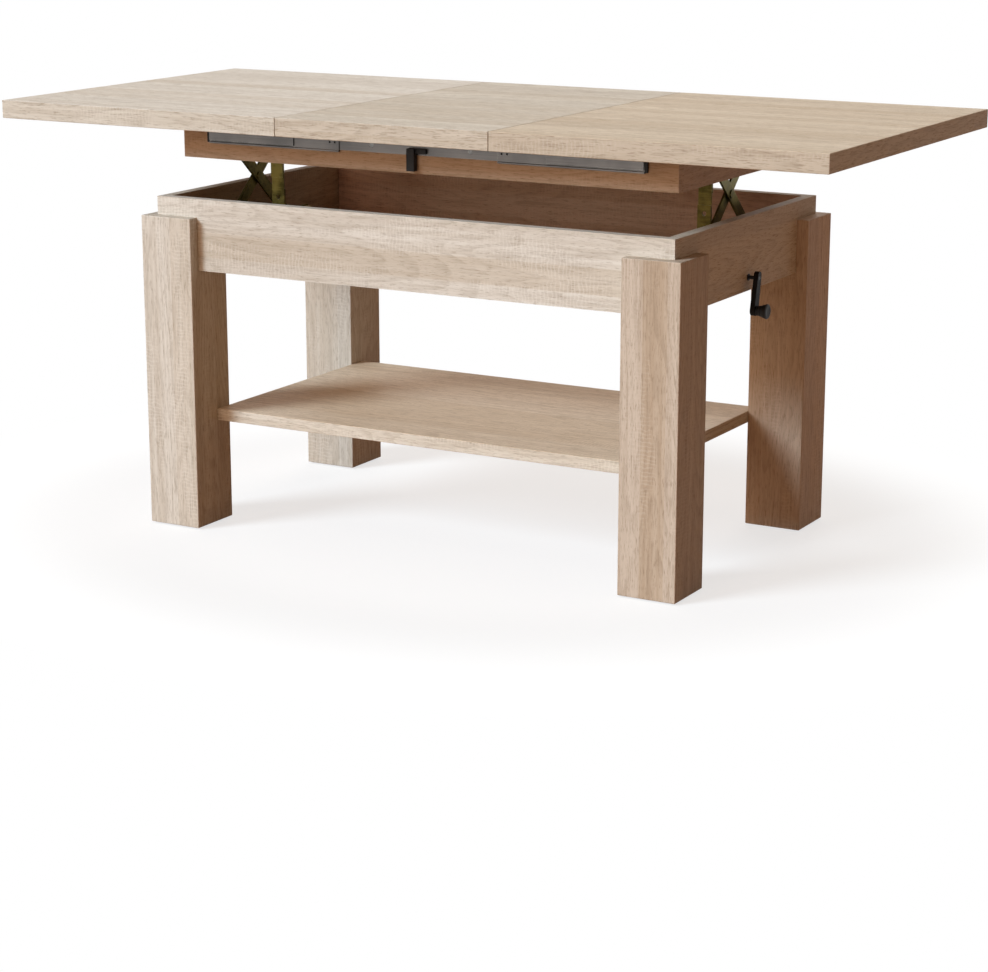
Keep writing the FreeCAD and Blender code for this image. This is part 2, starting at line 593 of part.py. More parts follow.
# Base rails on the floor panel, which carry the lower pins
def build_base_rails():
    screws, floor_holes = [], []
    y0, y1 = rail_span()
    top = LOWER_PIVOT_Z + RAIL_TOP_MARGIN
    web = box(BASE_RAIL_X, BASE_RAIL_X + RAIL_SHEET, y0, y1, FLOOR_TOP, top)
    foot = box(BASE_RAIL_X, BASE_RAIL_X + RAIL_FOOT, y0, y1, FLOOR_TOP, FLOOR_TOP + RAIL_SHEET)
    bore = PIN_RADIUS + PIN_CLEARANCE
    through = RAIL_SHEET + 2 * CUT_OVERRUN
    fixed_at = FreeCAD.Vector(BASE_RAIL_X - CUT_OVERRUN, FIXED_PIVOT_Y, LOWER_PIVOT_Z)
    fixed = rod(bore, fixed_at, X_AXIS, through)
    shaft_at = FreeCAD.Vector(BASE_RAIL_X - CUT_OVERRUN, 0, SHAFT_Z)
    shaft = rod(SHAFT_RADIUS + SHAFT_HOLE_ROOM, shaft_at, X_AXIS, through)
    down = Z_AXIS * -1
    places = [FreeCAD.Vector(BASE_RAIL_X + (RAIL_SHEET + RAIL_FOOT) / 2, y, FLOOR_TOP + RAIL_SHEET)
              for y in (y0 + RAIL_SCREW_INSET, y1 - RAIL_SCREW_INSET)]
    holes = [screw_hole(place, down) for place in places]
    sliding = pin_slot(LOWER_PIVOT_Z, LOWER_PIVOT_Z, BASE_RAIL_X)
    rail = drill(web.fuse(foot).removeSplitter(), [fixed, shaft, sliding] + holes)
    for side in SIDES:
        add("base_rail_" + SIDE_NAMES[side], on_side(rail, side))
        screws += [on_side(wood_screw(place, down), side) for place in places]
        floor_holes += [on_side(hole, side) for hole in holes]
    add("base_rail_screws", *screws)
    return floor_holes


# Drive: crank and shaft along the table, and a screw and nut in each lift unit
def build_drive():
    shaft_end = FRAME_HALF_X + CRANK_STANDOFF + CRANK_ARM_THICKNESS
    shaft_start = -(DRIVE_X + GEARBOX_X / 2) + SCREW_SEAT
    shaft_from = FreeCAD.Vector(shaft_start, 0, SHAFT_Z)
    add("crank_shaft", rod(SHAFT_RADIUS, shaft_from, X_AXIS, shaft_end - shaft_start))
    half_x, half_y = GEARBOX_X / 2, GEARBOX_Y / 2
    screw_start = -half_y + SCREW_SEAT
    screw_end = NUT_LOWERED_Y - NUT_LENGTH / 2 - SCREW_RUN_OUT - BEARING_LENGTH
    housing = box(DRIVE_X - half_x, DRIVE_X + half_x, -half_y, half_y, FLOOR_TOP, GEARBOX_TOP)
    cross_at = FreeCAD.Vector(DRIVE_X - GEARBOX_X, 0, SHAFT_Z)
    cross_bore = rod(SHAFT_RADIUS + SHAFT_CLEARANCE, cross_at, X_AXIS, 2 * GEARBOX_X)
    screw_from = FreeCAD.Vector(DRIVE_X, screw_start, SHAFT_Z)
    screw_bore = rod(SCREW_RADIUS + SHAFT_CLEARANCE, screw_from, Y_AXIS * -1, GEARBOX_Y)
    screw = rod(SCREW_RADIUS, screw_from, Y_AXIS * -1, screw_start - screw_end)
    bearing = box(DRIVE_X - BEARING_WIDTH / 2, DRIVE_X + BEARING_WIDTH / 2, screw_end,
                  screw_end + BEARING_LENGTH, FLOOR_TOP, GEARBOX_TOP)
    housing = drill(housing, [cross_bore, screw_bore])
    bearing = drill(bearing, [screw_bore_through(screw_end)])
    for side in SIDES:
        name = SIDE_NAMES[side]
        add("drive_screw_" + name, on_side(screw, side))
        add("drive_nut_" + name, on_side(drive_nut(), side))
    add("gearboxes", *[on_side(housing, side) for side in SIDES])
    add("screw_end_bearings", *[on_side(bearing, side) for side in SIDES])
    build_crank()


def screw_bore_through(end):
    """A bore on the screw's axis, past the end bearing on both sides."""
    start = FreeCAD.Vector(DRIVE_X, end - CUT_OVERRUN, SHAFT_Z)
    return rod(SCREW_RADIUS + SHAFT_CLEARANCE, start, Y_AXIS, BEARING_LENGTH + 2 * CUT_OVERRUN)


def drive_nut():
    """A carriage on the lower sliding pin that reaches over the gearbox to the nut on the screw."""
    nut_front = NUT_RAISED_Y - NUT_LENGTH / 2
    nut_back = NUT_RAISED_Y + NUT_LENGTH / 2
    top = LOWER_PIVOT_Z + NUT_HALF_HEIGHT
    beam = box(NUT_X, NUT_X + NUT_THICKNESS, min(nut_front, SLIDE_RAISED_Y - NUT_HALF_HEIGHT),
               max(nut_back, SLIDE_RAISED_Y + NUT_HALF_HEIGHT), LOWER_PIVOT_Z - NUT_HALF_HEIGHT, top)
    block = box(NUT_X, NUT_X + NUT_THICKNESS, nut_front, nut_back, FLOOR_TOP + NUT_FLOOR_GAP, top)
    pin_at = FreeCAD.Vector(NUT_X - CUT_OVERRUN, SLIDE_RAISED_Y, LOWER_PIVOT_Z)
    pin_bore = rod(PIN_RADIUS + PIN_CLEARANCE, pin_at, X_AXIS, NUT_THICKNESS + 2 * CUT_OVERRUN)
    screw_at = FreeCAD.Vector(DRIVE_X, nut_front - CUT_OVERRUN, SHAFT_Z)
    screw_bore = rod(SCREW_RADIUS + SHAFT_CLEARANCE, screw_at, Y_AXIS, NUT_LENGTH + 2 * CUT_OVERRUN)
    return drill(beam.fuse(block).removeSplitter(), [pin_bore, screw_bore])


def build_crank():
    x0 = FRAME_HALF_X + CRANK_STANDOFF
    hub = FreeCAD.Vector(x0, 0, SHAFT_Z)
    head = FreeCAD.Vector(x0, 0, SHAFT_Z + CRANK_HEAD_RISE)
    tip = FreeCAD.Vector(x0, 0, SHAFT_Z - CRANK_ARM_LENGTH)
    tangent = math.asin((CRANK_HUB_RADIUS - CRANK_TIP_RADIUS) / (CRANK_ARM_LENGTH + CRANK_HEAD_RISE))
    outline = []
    for sign in SIDES:
        across = FreeCAD.Vector(0, sign * math.cos(tangent), -math.sin(tangent))
        outline.append((head + across * CRANK_HUB_RADIUS, tip + across * CRANK_TIP_RADIUS))
    points = [outline[0][0], outline[0][1], outline[1][1], outline[1][0], outline[0][0]]
    web = Part.Face(Part.makePolygon(points)).extrude(X_AXIS * CRANK_ARM_THICKNESS)
    eyes = [rod(CRANK_HUB_RADIUS, head, X_AXIS, CRANK_ARM_THICKNESS),
            rod(CRANK_TIP_RADIUS, tip, X_AXIS, CRANK_ARM_THICKNESS)]
    knob_start = x0 + CRANK_ARM_THICKNESS + KNOB_GAP
    pin = rod(KNOB_PIN_RADIUS, tip, X_AXIS, CRANK_ARM_THICKNESS + KNOB_GAP + KNOB_LENGTH - KNOB_ROUND)
    arm = web.fuse(eyes + [pin]).removeSplitter()
    hub_bore = CRANK_ARM_THICKNESS + 2 * CUT_OVERRUN
    arm = arm.cut(rod(SHAFT_RADIUS + DOWEL_CLEARANCE, hub - X_AXIS * CUT_OVERRUN, X_AXIS, hub_bore))
    centre = FreeCAD.Vector(knob_start, 0, SHAFT_Z - CRANK_ARM_LENGTH)
    knob = Part.makeCone(KNOB_NECK_RADIUS, KNOB_RADIUS, KNOB_LENGTH, centre, X_AXIS)
    rims = [edge for edge in knob.Edges if edge.Curve.TypeId == "Part::GeomCircle"]
    knob = knob.makeFillet(KNOB_ROUND, rims)
    knob = knob.cut(rod(KNOB_PIN_RADIUS + KNOB_CLEARANCE, centre - X_AXIS * CUT_OVERRUN, X_AXIS,
                        CUT_OVERRUN + KNOB_LENGTH - KNOB_ROUND + KNOB_CLEARANCE))
    for name, shape in (("crank_arm", arm), ("crank_knob", knob)):
        shape.rotate(hub, X_AXIS, -CRANK_REST_TILT)
        add(name, shape)
    flange_face = FreeCAD.Vector(FRAME_HALF_X, 0, SHAFT_Z)
    sleeve_radius = SHAFT_RADIUS + SHAFT_CLEARANCE + BUSH_WALL
    bush = rod(BUSH_FLANGE_RADIUS, flange_face, X_AXIS, BUSH_FLANGE)
    bush = bush.fuse(rod(sleeve_radius, flange_face, X_AXIS * -1, FRAME_PANEL)).removeSplitter()
    bore_at = flange_face - X_AXIS * (FRAME_PANEL + CUT_OVERRUN)
    bore_length = FRAME_PANEL + BUSH_FLANGE + 2 * CUT_OVERRUN
    add("crank_bush", bush.cut(rod(SHAFT_RADIUS + SHAFT_CLEARANCE, bore_at, X_AXIS, bore_length)))


# Guide strips: one on the floor, one that slides half as far, and one on the carrier's batten
def guide_strip(layer, z0, z1):
    """One flat strip of the right-hand guide, in its layer."""
    y = GUIDE_Y + layer * (GUIDE_SHEET + GUIDE_LAYER_GAP)
    return box(GUIDE_X, GUIDE_X + GUIDE_WIDTH, y, y + GUIDE_SHEET, z0, z1)


def build_guides():
    lower_top = FRAME_TOP - GUIDE_TOP_GAP
    upper_bottom = FLOOR_TOP + LIFT + GUIDE_FLOOR_GAP
    strip = guide_strip(0, FLOOR_TOP, lower_top)
    foot = box(GUIDE_X, GUIDE_X + GUIDE_WIDTH, GUIDE_Y - GUIDE_FLANGE, GUIDE_Y,
               FLOOR_TOP, FLOOR_TOP + GUIDE_SHEET)
    hole_at = FreeCAD.Vector(GUIDE_X + GUIDE_WIDTH / 2, GUIDE_Y - CUT_OVERRUN, lower_top - GUIDE_HOLE_DROP)
    hole = rod(GUIDE_HOLE_RADIUS, hole_at, Y_AXIS, 2 * GUIDE_SHEET + GUIDE_LAYER_GAP + 2 * CUT_OVERRUN)
    lower = strip.fuse(foot).removeSplitter().cut(hole)
    middle = guide_strip(1, lower_top - GUIDE_OVERLAP, upper_bottom + GUIDE_OVERLAP).cut(hole)
    upper = guide_strip(2, upper_bottom, CARRIER_TOP - GUIDE_TOP_GAP)
    flange_y = GUIDE_Y + 2 * (GUIDE_SHEET + GUIDE_LAYER_GAP)
    flange = box(BATTEN_X - GUIDE_SHEET, BATTEN_X, flange_y, flange_y + GUIDE_FLANGE,
                 CARRIER_TOP - GUIDE_FLANGE_BELOW_TOP, CARRIER_TOP - GUIDE_TOP_GAP)
    upper = upper.fuse(flange).removeSplitter()
    for name, shape in (("guide_lower", lower), ("guide_middle", middle), ("guide_upper", upper)):
        add(name, *[on_side(shape, side) for side in SIDES])


# Base: box frame with its floor, four legs, glides and the shelf
def build_frame(floor_holes):
    dowels, dowel_holes, bolts, bolt_holes = [], [], [], []
    dowel_x = FRAME_HALF_X - FRAME_PANEL / 2
    bolt_z = FRAME_BOTTOM + BOLT_ABOVE_FRAME_EDGE
    for side in SIDES:
        for depth in SIDES:
            for z in (FRAME_BOTTOM + FRAME_DOWEL_INSET, FRAME_TOP - FRAME_DOWEL_INSET):
                centre = FreeCAD.Vector(side * dowel_x, depth * FRAME_INNER_Y, z)
                dowels.append(dowel(centre, Y_AXIS))
                dowel_holes.append(dowel_hole(centre, Y_AXIS))
            bolt_x = LEG_INNER_X + BOLT_FROM_LEG_FACE
            bolt_y = LEG_INNER_Y + BOLT_FROM_LEG_FACE
            long_way = FreeCAD.Vector(side * bolt_x, depth * FRAME_INNER_Y, bolt_z)
            short_way = FreeCAD.Vector(side * FRAME_INNER_X, depth * bolt_y, bolt_z)
            for seat, out in ((long_way, Y_AXIS * depth), (short_way, X_AXIS * side)):
                reach = FRAME_PANEL + BOLT_GRIP_IN_LEG
                head = rod(BOLT_HEAD_RADIUS, seat - out * BOLT_HEAD_HEIGHT, out, BOLT_HEAD_HEIGHT)
                bolts.append(head.fuse(rod(BOLT_SHANK_RADIUS, seat, out, reach)).removeSplitter())
                bolt_holes.append(rod(BOLT_SHANK_RADIUS + DOWEL_CLEARANCE, seat - out * CUT_OVERRUN, out,
                                      reach + 2 * CUT_OVERRUN))
    add("leg_bolts", *bolts)
    floor_x = FRAME_INNER_X + GROOVE_DEPTH
    floor_y = FRAME_INNER_Y + GROOVE_DEPTH
    groove_x = floor_x + GROOVE_CLEARANCE
    groove_y = floor_y + GROOVE_CLEARANCE
    groove = box(-groove_x, groove_x, -groove_y, groove_y, FLOOR_BOTTOM - GROOVE_CLEARANCE,
                 FLOOR_TOP + GROOVE_CLEARANCE)
    sleeve_radius = SHAFT_RADIUS + SHAFT_CLEARANCE + BUSH_WALL + DOWEL_CLEARANCE
    bush_hole = rod(sleeve_radius, FreeCAD.Vector(FRAME_INNER_X - CUT_OVERRUN, 0, SHAFT_Z), X_AXIS,
                    FRAME_PANEL + 2 * CUT_OVERRUN)
    for depth in SIDES:
        panel = box(-FRAME_HALF_X, FRAME_HALF_X, depth * FRAME_INNER_Y, depth * FRAME_HALF_Y,
                    FRAME_BOTTOM, FRAME_TOP)
        add("frame_%s_panel" % DEPTH_NAMES[depth], drill(panel, [groove] + dowel_holes + bolt_holes))
    for side in SIDES:
        panel = box(side * FRAME_INNER_X, side * FRAME_HALF_X, -FRAME_INNER_Y, FRAME_INNER_Y,
                    FRAME_BOTTOM, FRAME_TOP)
        add("frame_%s_panel" % SIDE_NAMES[side], drill(panel, [groove, bush_hole] + dowel_holes + bolt_holes))
    floor = box(-floor_x, floor_x, -floor_y, floor_y, FLOOR_BOTTOM, FLOOR_TOP)
    add("frame_floor", drill(floor, floor_holes))
    build_legs(bolt_holes, dowels)


def build_legs(bolt_holes, frame_dowels):
    envelope = box(-FRAME_HALF_X, FRAME_HALF_X, -FRAME_HALF_Y, FRAME_HALF_Y, FRAME_BOTTOM, FRAME_TOP)
    dowels, dowel_holes, glides = [], [], []
    shelf_z = SHELF_TOP - SHELF_THICKNESS / 2
    held_width = SHELF_WIDTH / 2 - LEG_INNER_Y
    for side in SIDES:
        for depth in SIDES:
            for share in SHELF_DOWEL_SHARES:
                dowel_y = LEG_INNER_Y + held_width * share
                centre = FreeCAD.Vector(side * LEG_INNER_X, depth * dowel_y, shelf_z)
                dowels.append(dowel(centre, X_AXIS))
                dowel_holes.append(dowel_hole(centre, X_AXIS))
    for side in SIDES:
        for depth in SIDES:
            leg = box(side * LEG_INNER_X, side * LEG_SPAN_X / 2, depth * LEG_INNER_Y, depth * LEG_SPAN_Y / 2,
                      GLIDE_HEIGHT, LEG_TOP)
            foot = FreeCAD.Vector(side * (LEG_SPAN_X - LEG_SIZE) / 2, depth * (LEG_SPAN_Y - LEG_SIZE) / 2, 0)
            glide = rod(GLIDE_RADIUS, foot, Z_AXIS, GLIDE_HEIGHT)
            glides.append(glide.fuse(rod(GLIDE_PIN_RADIUS, foot, Z_AXIS, GLIDE_PIN_LENGTH)).removeSplitter())
            pin_depth = GLIDE_PIN_LENGTH + DOWEL_CLEARANCE
            pin_hole = rod(GLIDE_PIN_RADIUS + DOWEL_CLEARANCE, foot, Z_AXIS, pin_depth)
            leg = soften(leg, LEG_EDGE_ROUND)
            add("leg_%s_%s" % (DEPTH_NAMES[depth], SIDE_NAMES[side]),
                drill(leg, [envelope, pin_hole] + dowel_holes + bolt_holes))
    add("leg_glides", *glides)
    add("base_dowels", *(frame_dowels + dowels))
    shelf = box(-LEG_INNER_X, LEG_INNER_X, -SHELF_WIDTH / 2, SHELF_WIDTH / 2,
                SHELF_TOP - SHELF_THICKNESS, SHELF_TOP)
    add("lower_shelf", drill(soften(shelf, BOARD_EDGE_ROUND), dowel_holes))


def main():
    build_frame(build_base_rails())
    runner_screws, panel_holes = build_runners()
    build_carrier(panel_holes)
    add("carrier_screws", *(runner_screws + build_upper_rails()))
    build_top()
    build_scissors()
    build_drive()
    build_guides()
    os.makedirs("parts", exist_ok=True)
    for name, shape in PARTS.items():
        shape.exportStep("parts/%s.step" % name)
        state = "valid" if shape.isValid() else "INVALID"
        print(name, len(shape.Solids), "solids", round(shape.Volume), "mm3", state)


main()
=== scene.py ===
import bpy
import bmesh
import json
import math
from mathutils import Matrix, Vector

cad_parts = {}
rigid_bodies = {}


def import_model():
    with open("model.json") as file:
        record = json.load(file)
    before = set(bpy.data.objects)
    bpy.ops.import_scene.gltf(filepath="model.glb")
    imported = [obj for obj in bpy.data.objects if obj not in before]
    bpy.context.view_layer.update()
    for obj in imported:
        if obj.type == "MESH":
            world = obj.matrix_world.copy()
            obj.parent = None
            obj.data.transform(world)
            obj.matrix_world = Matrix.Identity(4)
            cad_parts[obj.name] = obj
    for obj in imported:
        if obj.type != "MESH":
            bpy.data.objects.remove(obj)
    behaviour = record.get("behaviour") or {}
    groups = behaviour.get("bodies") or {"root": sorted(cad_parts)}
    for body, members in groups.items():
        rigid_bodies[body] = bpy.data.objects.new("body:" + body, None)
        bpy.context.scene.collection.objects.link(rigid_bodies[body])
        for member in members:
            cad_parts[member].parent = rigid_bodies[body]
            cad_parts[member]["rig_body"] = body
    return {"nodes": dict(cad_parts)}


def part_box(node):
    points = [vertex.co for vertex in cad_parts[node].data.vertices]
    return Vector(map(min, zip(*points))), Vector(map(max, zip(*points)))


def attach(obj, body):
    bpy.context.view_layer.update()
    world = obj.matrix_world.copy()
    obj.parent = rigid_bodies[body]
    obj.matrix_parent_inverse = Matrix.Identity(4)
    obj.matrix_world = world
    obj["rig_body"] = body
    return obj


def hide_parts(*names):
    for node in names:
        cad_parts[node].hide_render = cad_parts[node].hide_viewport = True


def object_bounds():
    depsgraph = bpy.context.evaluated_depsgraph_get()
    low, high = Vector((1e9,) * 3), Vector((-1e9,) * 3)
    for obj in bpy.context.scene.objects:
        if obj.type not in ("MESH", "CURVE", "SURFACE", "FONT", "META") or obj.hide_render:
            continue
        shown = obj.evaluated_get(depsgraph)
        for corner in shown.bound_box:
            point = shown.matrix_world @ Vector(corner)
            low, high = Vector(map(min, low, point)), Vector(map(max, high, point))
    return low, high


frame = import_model()
cad_lo, cad_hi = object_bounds()
nodes = frame["nodes"]

# Camera, in metres and radians
CAMERA_PLACE = (2.1023, -3.7045, 1.1584)
CAMERA_PITCH = 0.25208
CAMERA_TURN = 0.51344
CAMERA_LENS = 92.73
CAMERA_SENSOR = 36.0

# Lights: name, strength, colour, spread, azimuth, elevation, and whether mirrors show it
LIGHTS = (
    ("key", 3.8, (0.77, 0.895, 1.0), 0.40, -0.60, 0.49, True),
    ("front_fill", 0.86, (1.0, 0.74, 0.57), 0.40, -0.12, 0.17, True),
    ("top_fill", 0.30, (1.0, 0.97, 0.93), 0.70, 0.0, 1.45, False),
    ("back_fill", 1.0, (1.0, 0.93, 0.86), 0.90, 3.4, 0.55, False),
)
LIGHT_DISTANCE = 4.0
AMBIENT_COLOUR = (0.215, 0.112, 0.05, 1.0)

# Floor
FLOOR_SIZE = 60.0
FLOOR_DROP = 0.0005
FLOOR_WHITE = (1.0, 1.0, 1.0, 1.0)
FLOOR_GLOW = 0.70
FLOOR_SHADOWED = (0.32, 0.32, 0.32, 1.0)
FLOOR_BLACK = (0.0, 0.0, 0.0, 1.0)
FLOOR_FADE = (0.45, 0.98)
FLOOR_FADE_SQUEEZE = (0.85, 1.0, 1.0)
FLOOR_BOUNCE = (0.31, 0.15, 0.065, 1.0)

# Board colours, linear: pale, mid, line, band and sawn
OAK_PLAIN = (
    (0.655, 0.615, 0.545, 1.0),
    (0.55, 0.497, 0.42, 1.0),
    (0.27, 0.212, 0.15, 1.0),
    (0.49, 0.405, 0.30, 1.0),
    (0.76, 0.73, 0.67, 1.0),
)
# A darker, warmer copy of the board colours: painted shade, for the front right leg and the carrier.
OAK_SHADED = (
    (0.55, 0.465, 0.375, 1.0),
    (0.44, 0.35, 0.265, 1.0),
    (0.21, 0.145, 0.09, 1.0),
    (0.40, 0.29, 0.185, 1.0),
    (0.60, 0.52, 0.43, 1.0),
)

# Painted light and shade: tints of single boards and of their upright faces
NO_TINT = (1.0, 1.0, 1.0, 1.0)
# Carrier: painted shade, darker and warmer for the boards that sit in shade under the top.
CARRIER_PAINTED_SHADE = (0.94, 0.87, 0.80, 1.0)
# Top: painted light, with the left leaf lighter and the insert and right leaf darker and warmer, as light
# falls from the left. The rims darken the upright faces, partly as a real edge band and partly as painted
# shade.
INSERT_PAINTED_LIGHT = (0.97, 0.95, 0.91, 1.0)
INSERT_RIM_BAND_AND_SHADE = (0.90, 0.88, 0.86, 1.0)
LEAF_LEFT_PAINTED_LIGHT = (1.08, 1.08, 1.08, 1.0)
LEAF_LEFT_RIM_BAND_AND_SHADE = (0.85, 0.84, 0.81, 1.0)
LEAF_RIGHT_PAINTED_LIGHT = (0.95, 0.86, 0.74, 1.0)
LEAF_RIGHT_RIM_BAND_AND_SHADE = (0.87, 0.905, 0.97, 1.0)
# Shelf and frame floor: painted light, with the level faces lighter and warmer. The rim tint takes it back
# off the upright faces.
SHELF_PAINTED_LIGHT = (1.18, 1.05, 0.91, 1.0)
SHELF_RIM_LIGHT_UNDONE = (0.88, 0.97, 1.08, 1.0)
# Rear right leg: painted shade, darker and warmer for the leg that stands in shade.
REAR_RIGHT_LEG_PAINTED_SHADE = (0.98, 0.85, 0.76, 1.0)
RIM_RANGE = (0.7, 0.3)

# Painted shade: a darker, warmer tint on the inside faces of the frame, standing in for their shade and the
# warm light off the wood
HOLLOW_PAINTED_SHADE = (1.10, 0.76, 0.66, 1.0)
HOLLOW_END_PAINTED_SHADE = (1.06, 0.92, 0.84, 1.0)
HOLLOW_REACH = 0.25
HOLLOW_SAMPLES = 4
HOLLOW_RANGE = (0.90, 0.35)
HOLLOW_FACING = -0.1
LEVEL_PLANE = (1.0, 1.0, 0.0)

# Noise in wood: scale along and across the grain, start, detail, roughness, distortion
AT_ORIGIN = (0.0, 0.0, 0.0)
BROAD_STREAKS = (0.7, 15.0, AT_ORIGIN, 4.0, 0.55, 0.2)
FINE_STREAKS = (1.8, 150.0, (1.3, 4.1, 2.2), 4.0, 0.6, 0.0)
BANDS = (0.6, 6.5, (5.2, 8.4, 0.4), 3.0, 0.5, 0.0)
FIGURE = (1.6, 12.0, (3.1, 0.7, 1.9), 1.5, 0.35, 0.0)
BREAKS = (18.0, 320.0, AT_ORIGIN, 4.0, 0.6, 0.0)
PORES = (62.0, 780.0, AT_ORIGIN, 3.0, 0.6, 0.0)
SAW_PATCHES = (6.0, 26.0, (7.7, 2.0, 5.0), 3.0, 0.55, 0.0)
FLECKS = (60.0, 700.0, AT_ORIGIN, 3.0, 0.55, 0.0)

# Oak: where each layer starts and is full, and how strongly it shows
END_FACE_COSINE = 0.7
PIECE_SHIFT = 9.0
STREAK_SHARE = 0.50
STREAK_RANGE = (0.38, 0.60)
PLANKS_PER_METRE = 24.0
PLANK_RANGE = (0.45, 1.0)
PLANK_LEVEL = 0.42
BAND_RANGE = (0.50, 0.72)
BAND_LEVEL = 0.15
FIGURE_RINGS = 24.0
FIGURE_RISE = (0.2, 0.9)
FIGURE_FALL = (1.0, 0.9)
FIGURE_LEVEL = 0.30
BREAK_RANGE = (0.36, 0.60)
PORE_RANGE = (0.53, 0.66)
PORE_LEVEL = 0.55
PORE_RELIEF = -1.0
SAW_WAVE = {"Scale": 47.0, "Distortion": 6.0, "Detail": 3.0, "Detail_Scale": 1.6}
SAW_RANGE = (0.55, 1.0)
SAW_PATCH_RANGE = (0.47, 0.66)
SAW_LEVEL = 0.24
SAW_RELIEF = 0.5
# Painted highlight on sharp oak edges: the reach of the edge mask, its spread over the figure breaks, and
# its strength.
OAK_EDGE_HIGHLIGHT_REACH = 0.0013
OAK_EDGE_HIGHLIGHT_RANGE = (0.0, 1.0, 0.75, 0.35)
OAK_EDGE_HIGHLIGHT_LEVEL = 0.5
OAK_ROUGH = (0.3, 1.5, 0.52, 0.72)
OAK_SHINE = 0.16
OAK_BUMP = (0.22, 0.0004)

# Beech
BEECH_COLOURS = ((0.56, 0.40, 0.26, 1.0), (0.42, 0.27, 0.16, 1.0))
BEECH_RANGE = (0.4, 0.65)
BEECH_ROUGH = (0.3, 0.7, 0.55, 0.75)
BEECH_BUMP = (0.3, 0.0002)

# Metal
METAL_BRUSH = (40.0, 900.0)
METAL_LINE_DETAIL = 2.0
METAL_LINE_SHARE = 0.3
METAL_PATCH = 45.0
METAL_BLOTCH = (4.0, 0.6)
METAL_BLOTCH_SHARE = 0.7
METAL_RANGE = (0.36, 0.62)
METAL_EDGE = 0.0007
METAL_WEAR_AND_HIGHLIGHT = (0.35, 0.6, 0.3, 0.9)
METAL_ROUGH_RANGE = (0.3, 0.7)
METAL_ROUGH_SPAN = 0.16
METAL_BUMP = (0.12, 0.0002)
# Painted shade: near black in narrow gaps where other metal faces are close.
GAP_PAINTED_SHADE_COLOUR = (0.012, 0.011, 0.010, 1.0)
GAP_PAINTED_SHADE_REACH = 0.006
GAP_PAINTED_SHADE_SAMPLES = 8
GAP_PAINTED_SHADE_RANGE = (0.30, 0.80)

# Plastic and black coat
PLASTIC_SMEARS = (70.0, 4.0, 0.6)
PLASTIC_RANGE = (0.35, 0.7)
PLASTIC_GRAIN = 900.0
PLASTIC_GRAIN_DETAIL = 2.0
PLASTIC_SHINE = 0.2
PLASTIC_EDGE = 0.0008
PLASTIC_EDGE_LEVEL = 0.4
PLASTIC_ROUGH_RANGE = (0.3, 0.7)
PLASTIC_ROUGH_SPAN = 0.18
PLASTIC_BUMP = (0.18, 0.0002)

# Felt
FELT_COLOURS = ((0.06, 0.055, 0.05, 1.0), (0.16, 0.15, 0.14, 1.0))
FELT_FIBRES = (1400.0, 5.0, 0.7)
FELT_RANGE = (0.35, 0.65)
FELT_ROUGH = 0.95
FELT_BUMP = (0.7, 0.0006)

# Edges in materials: samples, and the cosines on a face and on a sharp edge
EDGE_SAMPLES = 4
EDGE_RANGE = (0.99, 0.86)

# Broken edges
WOOD_EASE = 0.0008
STEEL_EASE = 0.00025
PLASTIC_EASE = 0.0005
NO_EASE = 0.0
EASE_SEGMENTS = 2
EASE_ANGLE = math.radians(50)
WELD_REACH = 0.000002

# Turned and threaded pieces
DOUBLE_REACH = 1e-7
SHARP_ANGLE = 0.7
SIDES_ROUND = 32
SIDES_THREAD = 16
SIDES_FLUTED = 32
SIDES_KNOB = 56
LUMP_GRID = 1e6
LUMP_STEP = 0.0003
WIDE_SHARE = 0.96
CROSS_ARM_SHARE = 0.24
RECESS_REACH_SHARE = 0.55
RECESS_TAPER_SHARE = 0.7
RECESS_DEPTH_SHARE = 0.6
HEAD_ROUND_SHARE = 0.35
HEAD_FLAT_SHARE = 0.86
HEADLESS_SHARE = 0.9
POINT_RADIUS_SHARE = 0.25
POINT_LENGTH_SHARE = 1.6
THREAD_START_SHARE = 1.2
THREAD_ROOT_SHARE = 0.74
THREAD_PITCH_SHARE = 0.9
THREAD_SECTION_SHARES = ((-0.5, 0.0), (-0.28, 0.0), (-0.12, 1.0), (0.12, 1.0), (0.28, 0.0), (0.5, 0.0))
DOWEL_CHAMFER_SHARE = 0.3
DOWEL_TIP_SHARE = 0.72
DOWEL_FLUTE_SHARE = 0.9
DRIVE_ROOT_SHARE = 0.80
DRIVE_BARE_SHARE = 0.10
DRIVE_CHAMFER_SHARE = 0.15
DRIVE_TIP_SHARE = 0.85
DRIVE_LEAD = 0.005
KNOB_PROFILE_SHARES = (
    (0.88, 0.25), (0.0, 0.25), (0.0, 0.58), (0.03, 0.62), (0.20, 0.66), (0.23, 0.64), (0.27, 0.64),
    (0.30, 0.70), (0.46, 0.77), (0.49, 0.75), (0.53, 0.76), (0.56, 0.82), (0.80, 0.94), (0.88, 0.985),
    (0.93, 0.98), (0.98, 0.90), (1.0, 0.78), (0.99, 0.62), (0.975, 0.30),
)


# Node helpers

def new_material(name):
    """A fresh node material, its tree and its shader."""
    material = bpy.data.materials.new(name)
    material.use_nodes = True
    tree = material.node_tree
    tree.nodes.clear()
    output = tree.nodes.new("ShaderNodeOutputMaterial")
    shader = tree.nodes.new("ShaderNodeBsdfPrincipled")
    tree.links.new(shader.outputs["BSDF"], output.inputs["Surface"])
    return material, tree, shader


def put(tree, socket, value):
    """Links an output to a socket, or sets the socket's value."""
    if isinstance(value, bpy.types.NodeSocket):
        tree.links.new(value, socket)
    else:
        socket.default_value = value


def node(tree, kind, settings=None, **values):
    """One node with its settings, and its inputs set or linked by name."""
    made = tree.nodes.new(kind)
    for key, value in (settings or {}).items():
        setattr(made, key, value)
    for key, value in values.items():
        put(tree, made.inputs[key.replace("_", " ")], value)
    return made


